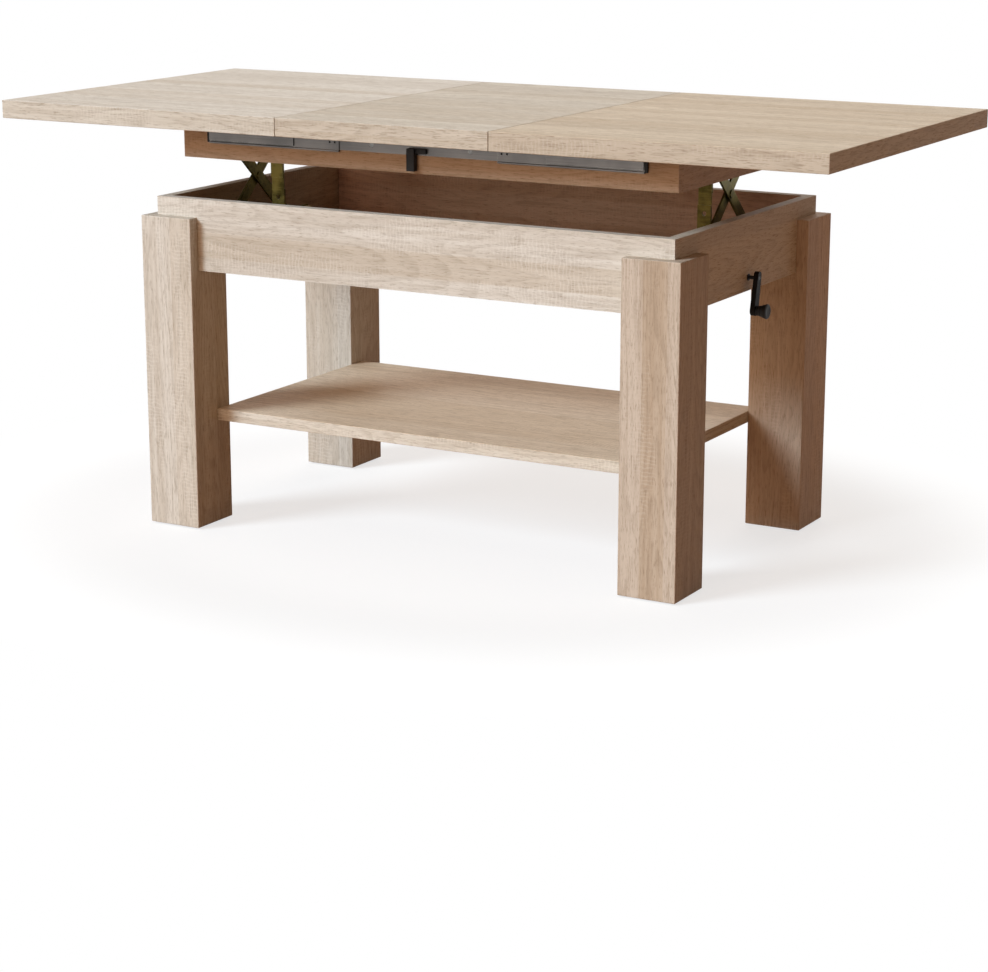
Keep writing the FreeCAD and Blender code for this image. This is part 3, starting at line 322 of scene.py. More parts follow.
def maths(tree, operation, first, second=0.0):
    """One step of arithmetic on two values."""
    made = node(tree, "ShaderNodeMath", {"operation": operation})
    put(tree, made.inputs[0], first)
    put(tree, made.inputs[1], second)
    return made.outputs[0]


def times(tree, first, second):
    """The product of two values."""
    return maths(tree, "MULTIPLY", first, second)


def vectors(tree, operation, first, second=None):
    """One step of arithmetic on vectors. A dot product or a length gives a value, the rest a vector."""
    made = node(tree, "ShaderNodeVectorMath", {"operation": operation})
    put(tree, made.inputs[0], first)
    if second is not None:
        put(tree, made.inputs[1], second)
    return made.outputs["Value" if operation in ("DOT_PRODUCT", "LENGTH") else "Vector"]


def ramp(tree, value, low, high, low_out=0.0, high_out=1.0):
    """A smooth step of a value, from low to high."""
    made = node(tree, "ShaderNodeMapRange", {"interpolation_type": "SMOOTHSTEP"})
    for place, given in enumerate((value, low, high, low_out, high_out)):
        put(tree, made.inputs[place], given)
    return made.outputs[0]


def blend(tree, factor, first, second, mode="MIX"):
    """A mix of two colours."""
    made = node(tree, "ShaderNodeMix", {"data_type": "RGBA", "blend_type": mode})
    put(tree, made.inputs[0], factor)
    put(tree, made.inputs[6], first)
    put(tree, made.inputs[7], second)
    return made.outputs[2]


def either(tree, factor, first, second):
    """A mix of two shaders."""
    made = tree.nodes.new("ShaderNodeMixShader")
    put(tree, made.inputs[0], factor)
    put(tree, made.inputs[1], first)
    put(tree, made.inputs[2], second)
    return made.outputs[0]


def coordinate(tree, kind):
    """The piece's own coordinate, or its normal."""
    return tree.nodes.new("ShaderNodeTexCoord").outputs[kind]


def noise(tree, vector, scale, detail=4.0, rough=0.55, distortion=0.0):
    """Noise from 0 to 1."""
    made = node(tree, "ShaderNodeTexNoise", Vector=vector, Scale=scale, Detail=detail,
                Roughness=rough, Distortion=distortion)
    return made.outputs["Fac"]


def stretched(tree, vector, along, across, start=AT_ORIGIN):
    """A coordinate scaled along the grain and across it."""
    made = node(tree, "ShaderNodeMapping", Vector=vector, Scale=(along, across, across), Location=start)
    return made.outputs[0]


def layer(tree, space, settings):
    """Noise drawn out along the grain, from one row of settings."""
    along, across, start, detail, rough, distortion = settings
    return noise(tree, stretched(tree, space, along, across, start), 1.0, detail, rough, distortion)


def edge_mask(tree, radius):
    """Nearly 1 on the sharp edges of a piece, 0 on its faces."""
    bevel = node(tree, "ShaderNodeBevel", {"samples": EDGE_SAMPLES}, Radius=radius)
    geometry = tree.nodes.new("ShaderNodeNewGeometry")
    cosine = vectors(tree, "DOT_PRODUCT", bevel.outputs[0], geometry.outputs["Normal"])
    return ramp(tree, cosine, *EDGE_RANGE)


def openness(tree, reach, samples):
    """1 on open faces, and less where other faces are within reach."""
    return node(tree, "ShaderNodeAmbientOcclusion", {"samples": samples}, Distance=reach).outputs["AO"]


def emboss(tree, shader, strength, distance, height):
    """Gives a shader a relief."""
    bump = node(tree, "ShaderNodeBump", Strength=strength, Distance=distance, Height=height)
    put(tree, shader.inputs["Normal"], bump.outputs["Normal"])


# Materials

def grain_space(tree, along):
    """The piece's own coordinate with the grain first, turned on end faces and shifted for each piece."""
    at = node(tree, "ShaderNodeSeparateXYZ", Vector=coordinate(tree, "Object")).outputs
    facing = node(tree, "ShaderNodeSeparateXYZ", Vector=coordinate(tree, "Normal")).outputs
    first, second, third = {"X": "XYZ", "Y": "YXZ", "Z": "ZXY"}[along]
    side = node(tree, "ShaderNodeCombineXYZ", X=at[first], Y=at[second], Z=at[third])
    end = node(tree, "ShaderNodeCombineXYZ", X=at[second], Y=at[third], Z=at[first])
    on_end = maths(tree, "GREATER_THAN", maths(tree, "ABSOLUTE", facing[along]), END_FACE_COSINE)
    mixed = node(tree, "ShaderNodeMix", {"data_type": "VECTOR"})
    put(tree, mixed.inputs[0], on_end)
    put(tree, mixed.inputs[4], side.outputs[0])
    put(tree, mixed.inputs[5], end.outputs[0])
    info = tree.nodes.new("ShaderNodeObjectInfo")
    return vectors(tree, "ADD", mixed.outputs[1], times(tree, info.outputs["Random"], PIECE_SHIFT))


def plank_tone(tree, space):
    """A tone of its own, 0 to 1, for each plank of the printed board."""
    steps = vectors(tree, "FLOOR", stretched(tree, space, 0.0, PLANKS_PER_METRE))
    chance = node(tree, "ShaderNodeTexWhiteNoise", {"noise_dimensions": "3D"}, Vector=steps)
    return ramp(tree, chance.outputs["Value"], *PLANK_RANGE)


def upright(tree):
    """1 on the upright faces of a board, 0 on level ones."""
    facing = node(tree, "ShaderNodeSeparateXYZ", Vector=coordinate(tree, "Normal"))
    return ramp(tree, maths(tree, "ABSOLUTE", facing.outputs["Z"]), *RIM_RANGE)


def painted_hollow_shade(tree):
    """Where the painted shade goes: towards 1 on upright faces that look at the table's upright axis and
    have other faces in reach.
    """
    level = node(tree, "ShaderNodeMapping", Vector=coordinate(tree, "Object"), Scale=LEVEL_PLANE)
    outward = vectors(tree, "DOT_PRODUCT", level.outputs[0], coordinate(tree, "Normal"))
    inward = maths(tree, "LESS_THAN", outward, HOLLOW_FACING)
    return times(tree, inward, ramp(tree, openness(tree, HOLLOW_REACH, HOLLOW_SAMPLES), *HOLLOW_RANGE))


def tinted(colours, tint):
    """The same set of board colours under a tint."""
    return [tuple(part * share for part, share in zip(colour, tint)) for colour in colours]


def oak(name, along, colours, tint=NO_TINT, rim=None, hollow_shade=None):
    """Sawn oak decor: planks, streaks, figure, pores and saw marks. Tints of the board and its rims paint
    light and shade, a rim being partly a real edge band; a tint in hollows paints shade, and pale sharp
    edges paint highlights.
    """
    pale, mid, line, band, sawn = tinted(colours, tint)
    material, tree, shader = new_material(name)
    space = grain_space(tree, along)
    broad = times(tree, layer(tree, space, BROAD_STREAKS), STREAK_SHARE)
    fine = times(tree, layer(tree, space, FINE_STREAKS), STREAK_SHARE)
    streaks = maths(tree, "ADD", broad, fine)
    colour = blend(tree, ramp(tree, streaks, *STREAK_RANGE), mid, pale)
    colour = blend(tree, times(tree, plank_tone(tree, space), PLANK_LEVEL), colour, band)
    bands = ramp(tree, layer(tree, space, BANDS), *BAND_RANGE)
    colour = blend(tree, times(tree, bands, BAND_LEVEL), colour, line)
    rings = maths(tree, "FRACT", times(tree, layer(tree, space, FIGURE), FIGURE_RINGS))
    figure = times(tree, ramp(tree, rings, *FIGURE_RISE), ramp(tree, rings, *FIGURE_FALL))
    broken = ramp(tree, layer(tree, space, BREAKS), *BREAK_RANGE)
    colour = blend(tree, times(tree, times(tree, figure, broken), FIGURE_LEVEL), colour, line)
    pores = ramp(tree, layer(tree, space, PORES), *PORE_RANGE)
    colour = blend(tree, times(tree, pores, PORE_LEVEL), colour, line)
    wave = node(tree, "ShaderNodeTexWave", {"bands_direction": "X"}, Vector=space, **SAW_WAVE)
    patches = ramp(tree, layer(tree, space, SAW_PATCHES), *SAW_PATCH_RANGE)
    saw = times(tree, ramp(tree, wave.outputs["Fac"], *SAW_RANGE), patches)
    colour = blend(tree, times(tree, saw, SAW_LEVEL), colour, sawn)
    if rim:
        colour = blend(tree, upright(tree), colour, rim, "MULTIPLY")
    # Painted shade on the inside faces of the frame.
    if hollow_shade:
        colour = blend(tree, painted_hollow_shade(tree), colour, hollow_shade, "MULTIPLY")
    # Painted highlight: sharp edges blend towards the pale sawn colour.
    edge = times(tree, edge_mask(tree, OAK_EDGE_HIGHLIGHT_REACH), ramp(tree, broken, *OAK_EDGE_HIGHLIGHT_RANGE))
    colour = blend(tree, times(tree, edge, OAK_EDGE_HIGHLIGHT_LEVEL), colour, sawn)
    put(tree, shader.inputs["Base Color"], colour)
    put(tree, shader.inputs["Roughness"], ramp(tree, maths(tree, "ADD", streaks, pores), *OAK_ROUGH))
    shader.inputs["Specular IOR Level"].default_value = OAK_SHINE
    relief = maths(tree, "ADD", times(tree, pores, PORE_RELIEF), times(tree, saw, SAW_RELIEF))
    emboss(tree, shader, *OAK_BUMP, relief)
    return material


def beech(name):
    """Plain pale dowel wood with short flecks."""
    material, tree, shader = new_material(name)
    flecks = layer(tree, coordinate(tree, "Object"), FLECKS)
    put(tree, shader.inputs["Base Color"], blend(tree, ramp(tree, flecks, *BEECH_RANGE), *BEECH_COLOURS))
    put(tree, shader.inputs["Roughness"], ramp(tree, flecks, *BEECH_ROUGH))
    emboss(tree, shader, *BEECH_BUMP, flecks)
    return material


def metal(name, dark, light, rough, brush=METAL_BRUSH, patch=METAL_PATCH, edge_wear_and_highlight=None, gap_shade=None):
    """A metal with drawn lines, a blotched coat, lighter sharp edges that are partly rubbed metal and partly
    painted highlight, and, where asked, painted shade in narrow gaps.
    """
    material, tree, shader = new_material(name)
    space = coordinate(tree, "Object")
    blotch = noise(tree, space, patch, *METAL_BLOTCH)
    lines = noise(tree, stretched(tree, space, *brush), 1.0, METAL_LINE_DETAIL)
    tone = maths(tree, "ADD", times(tree, blotch, METAL_BLOTCH_SHARE), times(tree, lines, METAL_LINE_SHARE))
    colour = blend(tree, ramp(tree, tone, *METAL_RANGE), dark, light)
    # Lighter sharp edges: partly rubbed metal and partly painted highlight.
    wear_and_highlight = times(tree, edge_mask(tree, METAL_EDGE), ramp(tree, blotch, *METAL_WEAR_AND_HIGHLIGHT))
    colour = blend(tree, wear_and_highlight, colour, edge_wear_and_highlight or light)
    # Painted shade in narrow gaps.
    if gap_shade:
        clear = ramp(tree, openness(tree, gap_shade, GAP_PAINTED_SHADE_SAMPLES), *GAP_PAINTED_SHADE_RANGE)
        colour = blend(tree, clear, GAP_PAINTED_SHADE_COLOUR, colour)
    put(tree, shader.inputs["Base Color"], colour)
    shader.inputs["Metallic"].default_value = 1.0
    dull = ramp(tree, tone, *METAL_ROUGH_RANGE, rough, rough + METAL_ROUGH_SPAN)
    put(tree, shader.inputs["Roughness"], dull)
    emboss(tree, shader, *METAL_BUMP, tone)
    return material


def plastic(name, dark, light, rough, fine=PLASTIC_GRAIN, shine=PLASTIC_SHINE):
    """A moulded or coated surface with fine grain, faint smears and lighter rubbed edges."""
    material, tree, shader = new_material(name)
    space = coordinate(tree, "Object")
    smears = noise(tree, space, *PLASTIC_SMEARS)
    colour = blend(tree, ramp(tree, smears, *PLASTIC_RANGE), dark, light)
    colour = blend(tree, times(tree, edge_mask(tree, PLASTIC_EDGE), PLASTIC_EDGE_LEVEL), colour, light)
    put(tree, shader.inputs["Base Color"], colour)
    dull = ramp(tree, smears, *PLASTIC_ROUGH_RANGE, rough, rough + PLASTIC_ROUGH_SPAN)
    put(tree, shader.inputs["Roughness"], dull)
    shader.inputs["Specular IOR Level"].default_value = shine
    emboss(tree, shader, *PLASTIC_BUMP, noise(tree, space, fine, PLASTIC_GRAIN_DETAIL))
    return material


def felt(name):
    """Pressed grey felt."""
    material, tree, shader = new_material(name)
    fibres = noise(tree, coordinate(tree, "Object"), *FELT_FIBRES)
    put(tree, shader.inputs["Base Color"], blend(tree, ramp(tree, fibres, *FELT_RANGE), *FELT_COLOURS))
    shader.inputs["Roughness"].default_value = FELT_ROUGH
    emboss(tree, shader, *FELT_BUMP, fibres)
    return material


oak_leaf_left = oak("oak_leaf_left", "X", OAK_PLAIN, LEAF_LEFT_PAINTED_LIGHT, rim=LEAF_LEFT_RIM_BAND_AND_SHADE)
oak_insert = oak("oak_insert", "X", OAK_PLAIN, INSERT_PAINTED_LIGHT, rim=INSERT_RIM_BAND_AND_SHADE)
oak_leaf_right = oak("oak_leaf_right", "X", OAK_PLAIN, LEAF_RIGHT_PAINTED_LIGHT, rim=LEAF_RIGHT_RIM_BAND_AND_SHADE)
oak_shelf_lit = oak("oak_shelf_lit", "X", OAK_PLAIN, SHELF_PAINTED_LIGHT, rim=SHELF_RIM_LIGHT_UNDONE)
oak_x = oak("oak_along_x", "X", OAK_PLAIN, hollow_shade=HOLLOW_PAINTED_SHADE)
oak_y = oak("oak_along_y", "Y", OAK_PLAIN, hollow_shade=HOLLOW_END_PAINTED_SHADE)
oak_z = oak("oak_along_z", "Z", OAK_PLAIN)
# Painted shade: the front right leg and the carrier take the darker copy of the oak.
oak_z_shaded = oak("oak_along_z_shaded", "Z", OAK_SHADED)
oak_z_rear_shaded = oak("oak_along_z_rear_shaded", "Z", OAK_PLAIN, REAR_RIGHT_LEG_PAINTED_SHADE)
oak_carrier_x = oak("carrier_oak_along_x", "X", OAK_SHADED, CARRIER_PAINTED_SHADE)
oak_carrier_y = oak("carrier_oak_along_y", "Y", OAK_SHADED, CARRIER_PAINTED_SHADE)
beech_wood = beech("beech")
# Runner steel: darker than bare steel, as painted shade for rails that sit in shade under the top. Its very
# bright edges are a painted highlight on the rolled lip.
runner_steel = metal("runner_steel", dark=(0.115, 0.11, 0.105, 1.0), light=(0.18, 0.172, 0.165, 1.0),
                     rough=0.34, brush=(6.0, 900.0), patch=9.0, edge_wear_and_highlight=(0.66, 0.65, 0.63, 1.0),
                     gap_shade=GAP_PAINTED_SHADE_REACH)
bright_steel = metal("bright_steel", dark=(0.30, 0.30, 0.30, 1.0), light=(0.50, 0.50, 0.49, 1.0), rough=0.26)
shaft_steel = metal("shaft_steel", dark=(0.02, 0.02, 0.021, 1.0), light=(0.055, 0.055, 0.056, 1.0),
                    rough=0.36)
screw_steel = metal("screw_steel", dark=(0.17, 0.17, 0.165, 1.0), light=(0.30, 0.30, 0.29, 1.0), rough=0.30)
# Yellow zinc: darker than plated steel, as painted shade for the parts in the shade of the carrier. Its
# lighter edges are partly rubbed and partly painted highlight.
yellow_zinc = metal("yellow_zinc", dark=(0.075, 0.062, 0.016, 1.0), light=(0.19, 0.155, 0.045, 1.0),
                    rough=0.34, brush=(30.0, 300.0), patch=38.0, edge_wear_and_highlight=(0.42, 0.36, 0.15, 1.0))
gearbox_metal = metal("gearbox_metal", dark=(0.16, 0.16, 0.16, 1.0), light=(0.28, 0.28, 0.28, 1.0),
                      rough=0.48, patch=160.0)
nut_brass = metal("nut_brass", dark=(0.42, 0.29, 0.10, 1.0), light=(0.62, 0.46, 0.18, 1.0), rough=0.30)
black_plastic = plastic("black_plastic", dark=(0.008, 0.008, 0.008, 1.0), light=(0.022, 0.021, 0.020, 1.0),
                        rough=0.44)
black_metal = plastic("black_metal", dark=(0.007, 0.007, 0.007, 1.0), light=(0.020, 0.020, 0.020, 1.0),
                      rough=0.46, fine=500.0, shine=0.1)
grey_felt = felt("grey_felt")

# The material of each piece, and how far its sharp edges are broken
MATERIALS = (
    (("leaf_left",), oak_leaf_left, NO_EASE),
    (("insert_panel",), oak_insert, NO_EASE),
    (("leaf_right",), oak_leaf_right, NO_EASE),
    (("lower_shelf", "frame_floor"), oak_shelf_lit, WOOD_EASE),
    (("frame_front_panel", "frame_rear_panel"), oak_x, WOOD_EASE),
    (("frame_left_panel", "frame_right_panel"), oak_y, WOOD_EASE),
    (("leg_front_left", "leg_rear_left"), oak_z, WOOD_EASE),
    (("leg_rear_right",), oak_z_rear_shaded, WOOD_EASE),
    (("leg_front_right",), oak_z_shaded, WOOD_EASE),
    (("carrier_front_panel", "carrier_rear_panel"), oak_carrier_x, WOOD_EASE),
    (("carrier_left_panel", "carrier_right_panel", "carrier_battens"), oak_carrier_y, WOOD_EASE),
    (("base_dowels", "carrier_dowels"), beech_wood, NO_EASE),
    (("runner_fixed", "runner_middle_left", "runner_middle_right", "leaf_runners_left",
      "leaf_runners_right"), runner_steel, STEEL_EASE),
    (("base_rail_screws", "carrier_screws", "leaf_runner_screws_left", "leaf_runner_screws_right",
      "leg_bolts"), screw_steel, NO_EASE),
    (("crank_shaft",), shaft_steel, NO_EASE),
    (("drive_screw_left", "drive_screw_right"), bright_steel, NO_EASE),
    (("base_rail_left", "base_rail_right", "upper_rails", "scissor_arm_a_left", "scissor_arm_a_right",
      "scissor_arm_b_left", "scissor_arm_b_right", "scissor_pins_a_left", "scissor_pins_a_right",
      "scissor_pins_b_left", "scissor_pins_b_right", "guide_lower", "guide_middle",
      "guide_upper"), yellow_zinc, STEEL_EASE),
    (("gearboxes", "screw_end_bearings"), gearbox_metal, STEEL_EASE),
    (("drive_nut_left", "drive_nut_right"), nut_brass, STEEL_EASE),
    (("runner_caps_left", "runner_caps_right", "runner_stops", "insert_locators", "crank_knob",
      "crank_bush"), black_plastic, PLASTIC_EASE),
    (("crank_arm",), black_metal, PLASTIC_EASE),
    (("leg_glides",), grey_felt, NO_EASE),
)


def paint(obj, material):
    """Gives an object one material."""
    obj.data.materials.clear()
    obj.data.materials.append(material)


def ease(obj, width):
    """Breaks the sharp edges of a piece."""
    weld = obj.modifiers.new("weld", "WELD")
    weld.merge_threshold = WELD_REACH
    bevel = obj.modifiers.new("ease", "BEVEL")
    bevel.width = width
    bevel.segments = EASE_SEGMENTS
    bevel.limit_method = "ANGLE"
    bevel.angle_limit = EASE_ANGLE
    bevel.harden_normals = False


for names, material, width in MATERIALS:
    for name in names:
        paint(nodes[name], material)
        if width:
            ease(nodes[name], width)


# Turned and threaded pieces

def finish_piece(name, bm, material, replaced):
    """Makes an object of a mesh that stands in for a CAD node, on that node's body."""
    bmesh.ops.remove_doubles(bm, verts=bm.verts, dist=DOUBLE_REACH)
    bmesh.ops.recalc_face_normals(bm, faces=bm.faces)
    mesh = bpy.data.meshes.new(name)
    bm.to_mesh(mesh)
    bm.free()
    obj = bpy.data.objects.new(name, mesh)
    bpy.context.scene.collection.objects.link(obj)
    mesh.materials.append(material)
    mesh.shade_smooth()
    mesh.set_sharp_from_angle(angle=SHARP_ANGLE)
    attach(obj, nodes[replaced]["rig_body"])
    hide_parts(replaced)
    return obj


def round_point(bm, place, radius, step, sides, height):
    """A vertex about Z, some steps round a circle that has so many sides."""
    turn = 2 * math.pi * step / sides
    return bm.verts.new(place @ Vector((radius * math.cos(turn), radius * math.sin(turn), height)))


def ring(bm, place, height, radii):
    """A ring of vertices about Z, one for each radius."""
    return [round_point(bm, place, radius, step, len(radii), height) for step, radius in enumerate(radii)]


def skin(bm, rings):
    """Faces from each ring to the next, and over the first ring."""
    for low, high in zip(rings, rings[1:]):
        for step in range(len(low)):
            after = (step + 1) % len(low)
            bm.faces.new((low[step], low[after], high[after], high[step]))
    bm.faces.new(list(reversed(rings[0])))


def lathe(bm, profile, place, sides=SIDES_ROUND):
    """Turns (height, radius) pairs about Z, closed at both ends, and puts the shape in place."""
    rings = [ring(bm, place, height, [radius] * sides) for height, radius in profile]
    skin(bm, rings)
    bm.faces.new(rings[-1])


def thread(bm, place, low, high, root, crest, pitch, sides=SIDES_THREAD):
    """A helical ridge about Z from low to high."""
    steps = int((high - low - pitch) / pitch * sides)
    before = None
    for step in range(steps + 1):
        centre = low + pitch / 2 + pitch * step / sides
        fade = min(1.0, step / sides, (steps - step) / sides)
        row = []
        for along, out in THREAD_SECTION_SHARES:
            radius = root + (crest - root) * out * fade
            row.append(round_point(bm, place, radius, step, sides, centre + along * pitch))
        if before:
            for near in range(len(row) - 1):
                bm.faces.new((before[near], row[near], row[near + 1], before[near + 1]))
        before = row


def lumps(name):
    """The separate solids of a CAD node, as lists of places."""
    mesh = nodes[name].data
    keys = {}
    owner = []

    def find(item):
        """The item that stands for a whole solid."""
        while owner[item] != item:
            owner[item] = owner[owner[item]]
            item = owner[item]
        return item

    index = []
    for vertex in mesh.vertices:
        key = tuple(round(value * LUMP_GRID) for value in vertex.co)
        if key not in keys:
            keys[key] = len(owner)
            owner.append(len(owner))
        index.append(keys[key])
    for edge in mesh.edges:
        first, second = find(index[edge.vertices[0]]), find(index[edge.vertices[1]])
        owner[first] = second
    found = {}
    for vertex, item in zip(mesh.vertices, index):
        found.setdefault(find(item), []).append(vertex.co.copy())
    return list(found.values())


def along_axis(start, direction):
    """A matrix whose Z runs along a direction from a point."""
    return Matrix.Translation(start) @ direction.to_track_quat("Z", "Y").to_matrix().to_4x4()


def axis_frame(points):
    """A matrix whose Z runs from a round solid's thin end to its head, its length and its profile."""
    low = Vector([min(point[i] for point in points) for i in range(3)])
    high = Vector([max(point[i] for point in points) for i in range(3)])
    size = high - low
    axis = max(range(3), key=lambda i: size[i])
    middle = (low + high) / 2
    spread = []
    for point in points:
        away = point - middle
        along = away[axis]
        away[axis] = 0.0
        spread.append((along + size[axis] / 2, away.length))
    widest = max(radius for height, radius in spread)
    wide = [height for height, radius in spread if radius > WIDE_SHARE * widest]
    direction = Vector((0.0, 0.0, 0.0))
    direction[axis] = 1.0
    if sum(wide) / len(wide) < size[axis] / 2:
        direction = -direction
        spread = [(size[axis] - height, radius) for height, radius in spread]
    return along_axis(middle - direction * (size[axis] / 2), direction), size[axis], spread


def recess_outline(kind, reach):
    """The corners of a cross or a hexagon socket."""
    if kind == "hex":
        return [(reach * math.cos(math.pi * i / 3), reach * math.sin(math.pi * i / 3)) for i in range(6)]
    arm = reach * CROSS_ARM_SHARE
    corner = [(reach, -arm), (reach, arm), (arm, arm)]
    turned = []
    for quarter in range(4):
        turn = Matrix.Rotation(quarter * math.pi / 2, 2)
        turned += [tuple(turn @ Vector(point)) for point in corner]
    return turned


def socket_head(bm, place, low, top, radius, kind):
    """A screw head with rounded rim and a sunk recess."""
    soft = (top - low) * HEAD_ROUND_SHARE
    levels = ((low, 1.0), (top - soft, 1.0), (top, HEAD_FLAT_SHARE))
    rim = [ring(bm, place, height, [radius * share] * SIDES_ROUND) for height, share in levels]
    skin(bm, rim)
    floor = top - (top - low) * RECESS_DEPTH_SHARE
    outline = recess_outline(kind, radius * RECESS_REACH_SHARE)
    upper = [bm.verts.new(place @ Vector((x, y, top))) for x, y in outline]
    lower = [bm.verts.new(place @ Vector((x * RECESS_TAPER_SHARE, y * RECESS_TAPER_SHARE, floor)))
             for x, y in outline]
    count = len(outline)
    walls = []
    for i in range(count):
        after = (i + 1) % count
        bm.faces.new((upper[i], upper[after], lower[after], lower[i]))
        walls.append(bm.edges.get((upper[i], upper[after])))
    bm.faces.new(lower)
    loop = [bm.edges.get((rim[-1][i], rim[-1][(i + 1) % SIDES_ROUND])) for i in range(SIDES_ROUND)]
    bmesh.ops.triangle_fill(bm, edges=loop + walls, use_beauty=True)


def dress_screws(replaced, kind):
    """Threaded screws with recessed heads in place of a group of plain ones."""
    bm = bmesh.new()
    for points in lumps(replaced):
        place, length, spread = axis_frame(points)
        head_radius = max(radius for height, radius in spread)
        head_low = min(height for height, radius in spread if radius > WIDE_SHARE * head_radius)
        below = max(head_low - LUMP_STEP, LUMP_STEP)
        shank = max(radius for height, radius in spread if height < below)
        if shank > HEADLESS_SHARE * head_radius:
            shank = min(radius for height, radius in spread if radius > LUMP_STEP)
        head_low = max(head_low, length - head_radius)
        root = shank * THREAD_ROOT_SHARE
        core = ((0.0, root * POINT_RADIUS_SHARE), (shank * POINT_LENGTH_SHARE, root), (head_low, root))
        lathe(bm, core, place, SIDES_THREAD)
        thread(bm, place, shank * THREAD_START_SHARE, head_low - LUMP_STEP, root, shank,
               shank * THREAD_PITCH_SHARE)
        socket_head(bm, place, head_low, length, head_radius, kind)
    return finish_piece(replaced + "_threaded", bm, screw_steel, replaced)


def dress_dowels(replaced):
    """Fluted dowels with chamfered ends in place of plain ones."""
    bm = bmesh.new()
    for points in lumps(replaced):
        place, length, spread = axis_frame(points)
        radius = max(out for height, out in spread)
        chamfer = radius * DOWEL_CHAMFER_SHARE
        rings = []
        for height, share in ((0.0, DOWEL_TIP_SHARE), (chamfer, 1.0), (length - chamfer, 1.0),
                              (length, DOWEL_TIP_SHARE)):
            radii = [radius * share * (DOWEL_FLUTE_SHARE if i % 2 else 1.0) for i in range(SIDES_FLUTED)]
            rings.append(ring(bm, place, height, radii))
        skin(bm, rings)
        bm.faces.new(rings[-1])
    return finish_piece(replaced + "_fluted", bm, beech_wood, replaced)


def dress_drive_screw(replaced):
    """A drive screw with its thread, plain at both ends."""
    bm = bmesh.new()
    for points in lumps(replaced):
        place, length, spread = axis_frame(points)
        crest = max(radius for height, radius in spread)
        root = crest * DRIVE_ROOT_SHARE
        tip = crest * DRIVE_TIP_SHARE
        chamfer = crest * DRIVE_CHAMFER_SHARE
        bare = length * DRIVE_BARE_SHARE
        low = bare + crest - root
        high = length - bare - crest + root
        lathe(bm, ((0.0, tip), (chamfer, crest), (bare, crest), (low, root), (high, root),
                   (length - bare, crest), (length - chamfer, crest), (length, tip)), place)
        thread(bm, place, low, high, root, crest, DRIVE_LEAD, SIDES_ROUND)
    return finish_piece(replaced + "_threaded", bm, bright_steel, replaced)


def dress_knob():
    """The turning grip: a flared body with a rolled rim, two finger grooves and a dished end."""
    low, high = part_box("crank_knob")
    radius = (high.y - low.y) / 2
    length = high.x - low.x
    middle = (low + high) / 2
    place = along_axis(Vector((low.x, middle.y, middle.z)), Vector((1, 0, 0)))
    bm = bmesh.new()
    lathe(bm, [(length * along, radius * out) for along, out in KNOB_PROFILE_SHARES], place, SIDES_KNOB)
    return finish_piece("crank_knob_turned", bm, black_plastic, "crank_knob")


for group in ("base_rail_screws", "carrier_screws", "leaf_runner_screws_left", "leaf_runner_screws_right"):
    dress_screws(group, "cross")
dress_screws("leg_bolts", "hex")
for group in ("base_dowels", "carrier_dowels"):
    dress_dowels(group)
for group in ("drive_screw_left", "drive_screw_right"):
    dress_drive_screw(group)
dress_knob()


# Room

def seen_ray(tree):
    """1 for what the camera sees, straight or through a mirror or glass."""
    path = tree.nodes.new("ShaderNodeLightPath")
    seen = maths(tree, "MAXIMUM", path.outputs["Is Camera Ray"], path.outputs["Is Glossy Ray"])
    return maths(tree, "MAXIMUM", seen, path.outputs["Is Transmission Ray"])


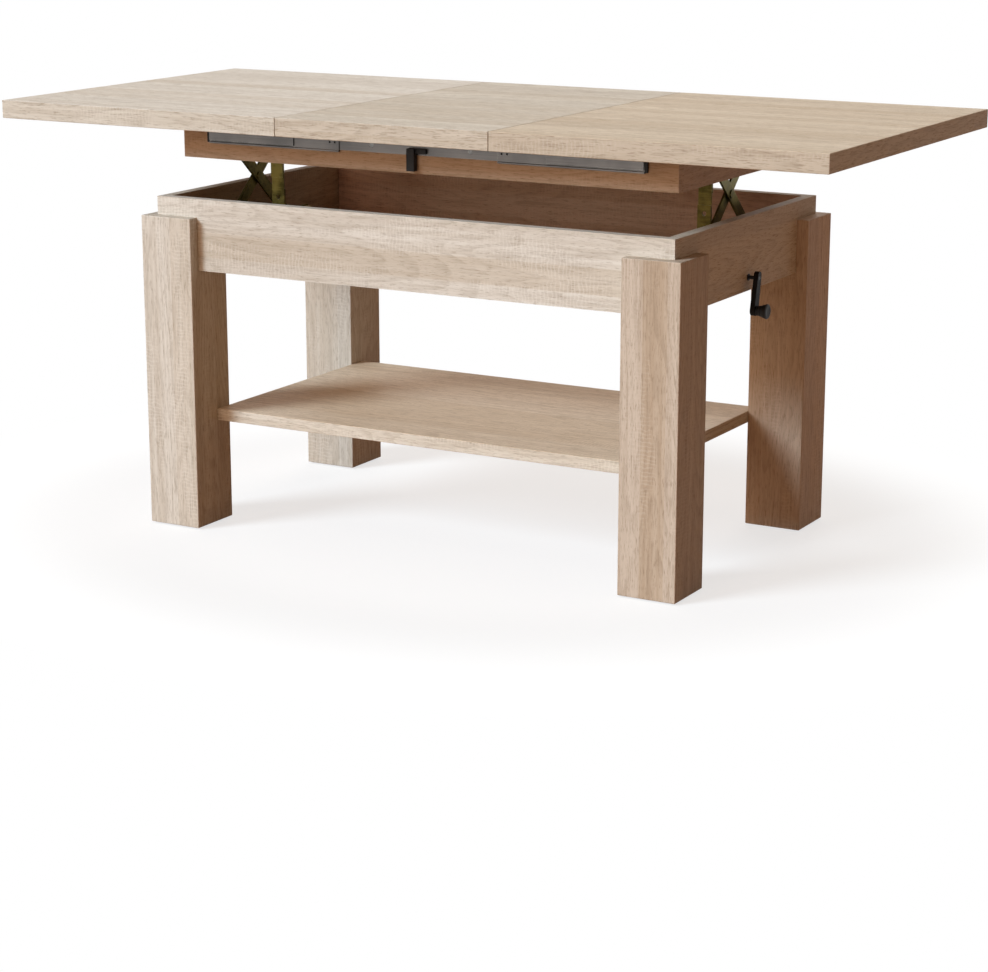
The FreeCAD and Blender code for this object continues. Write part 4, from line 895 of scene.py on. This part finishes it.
def build_floor():
    """A white floor that takes the table's shadow and is clear from below; light off it is warm and low."""
    mesh = bpy.data.meshes.new("floor")
    half = FLOOR_SIZE / 2
    level = cad_lo.z - FLOOR_DROP
    corners = [(x, y, level) for x, y in ((-half, -half), (half, -half), (half, half), (-half, half))]
    mesh.from_pydata(corners, [], [(0, 1, 2, 3)])
    floor = bpy.data.objects.new("floor", mesh)
    bpy.context.scene.collection.objects.link(floor)
    material = bpy.data.materials.new("floor_white")
    material.use_nodes = True
    tree = material.node_tree
    tree.nodes.clear()
    output = tree.nodes.new("ShaderNodeOutputMaterial")
    squeezed = node(tree, "ShaderNodeMapping", Vector=coordinate(tree, "Object"), Scale=FLOOR_FADE_SQUEEZE)
    far = ramp(tree, vectors(tree, "LENGTH", squeezed.outputs[0]), *FLOOR_FADE)
    glow = node(tree, "ShaderNodeEmission", Color=FLOOR_WHITE,
                Strength=ramp(tree, far, 0.0, 1.0, FLOOR_GLOW, 1.0))
    lit = node(tree, "ShaderNodeBsdfDiffuse", Color=blend(tree, far, FLOOR_SHADOWED, FLOOR_BLACK))
    both = tree.nodes.new("ShaderNodeAddShader")
    tree.links.new(glow.outputs[0], both.inputs[0])
    tree.links.new(lit.outputs[0], both.inputs[1])
    bounce = node(tree, "ShaderNodeBsdfDiffuse", Color=FLOOR_BOUNCE)
    above = either(tree, seen_ray(tree), bounce.outputs[0], both.outputs[0])
    clear = tree.nodes.new("ShaderNodeBsdfTransparent")
    geometry = tree.nodes.new("ShaderNodeNewGeometry")
    surface = either(tree, geometry.outputs["Backfacing"], above, clear.outputs[0])
    tree.links.new(surface, output.inputs["Surface"])
    mesh.materials.append(material)


def build_world():
    """White behind the table, a dim warm light all round it."""
    world = bpy.data.worlds.new("room")
    bpy.context.scene.world = world
    world.use_nodes = True
    tree = world.node_tree
    tree.nodes.clear()
    output = tree.nodes.new("ShaderNodeOutputWorld")
    dim = node(tree, "ShaderNodeBackground", Color=AMBIENT_COLOUR, Strength=1.0)
    white = node(tree, "ShaderNodeBackground", Color=FLOOR_WHITE, Strength=1.0)
    surface = either(tree, seen_ray(tree), dim.outputs[0], white.outputs[0])
    tree.links.new(surface, output.inputs["Surface"])


def build_lights():
    """A cool soft light from the front left, a low warm one into the gap, others from above and behind."""
    for name, strength, colour, spread, azimuth, elevation, glossy in LIGHTS:
        light = bpy.data.lights.new(name, "SUN")
        light.energy = strength
        light.color = colour
        light.angle = spread
        lamp = bpy.data.objects.new(name, light)
        lamp.visible_glossy = glossy
        toward = Vector((math.sin(azimuth) * math.cos(elevation), -math.cos(azimuth) * math.cos(elevation),
                         math.sin(elevation)))
        lamp.rotation_euler = (-toward).to_track_quat("-Z", "Y").to_euler()
        lamp.location = toward * LIGHT_DISTANCE
        bpy.context.scene.collection.objects.link(lamp)


def build_camera():
    """The photograph's viewpoint."""
    data = bpy.data.cameras.new("camera")
    data.lens = CAMERA_LENS
    data.sensor_width = CAMERA_SENSOR
    camera = bpy.data.objects.new("camera", data)
    camera.location = CAMERA_PLACE
    camera.rotation_euler = (math.pi / 2 - CAMERA_PITCH, 0.0, CAMERA_TURN)
    bpy.context.scene.collection.objects.link(camera)
    bpy.context.scene.camera = camera


build_floor()
build_world()
build_lights()
build_camera()
bpy.context.scene.view_settings.view_transform = "Standard"
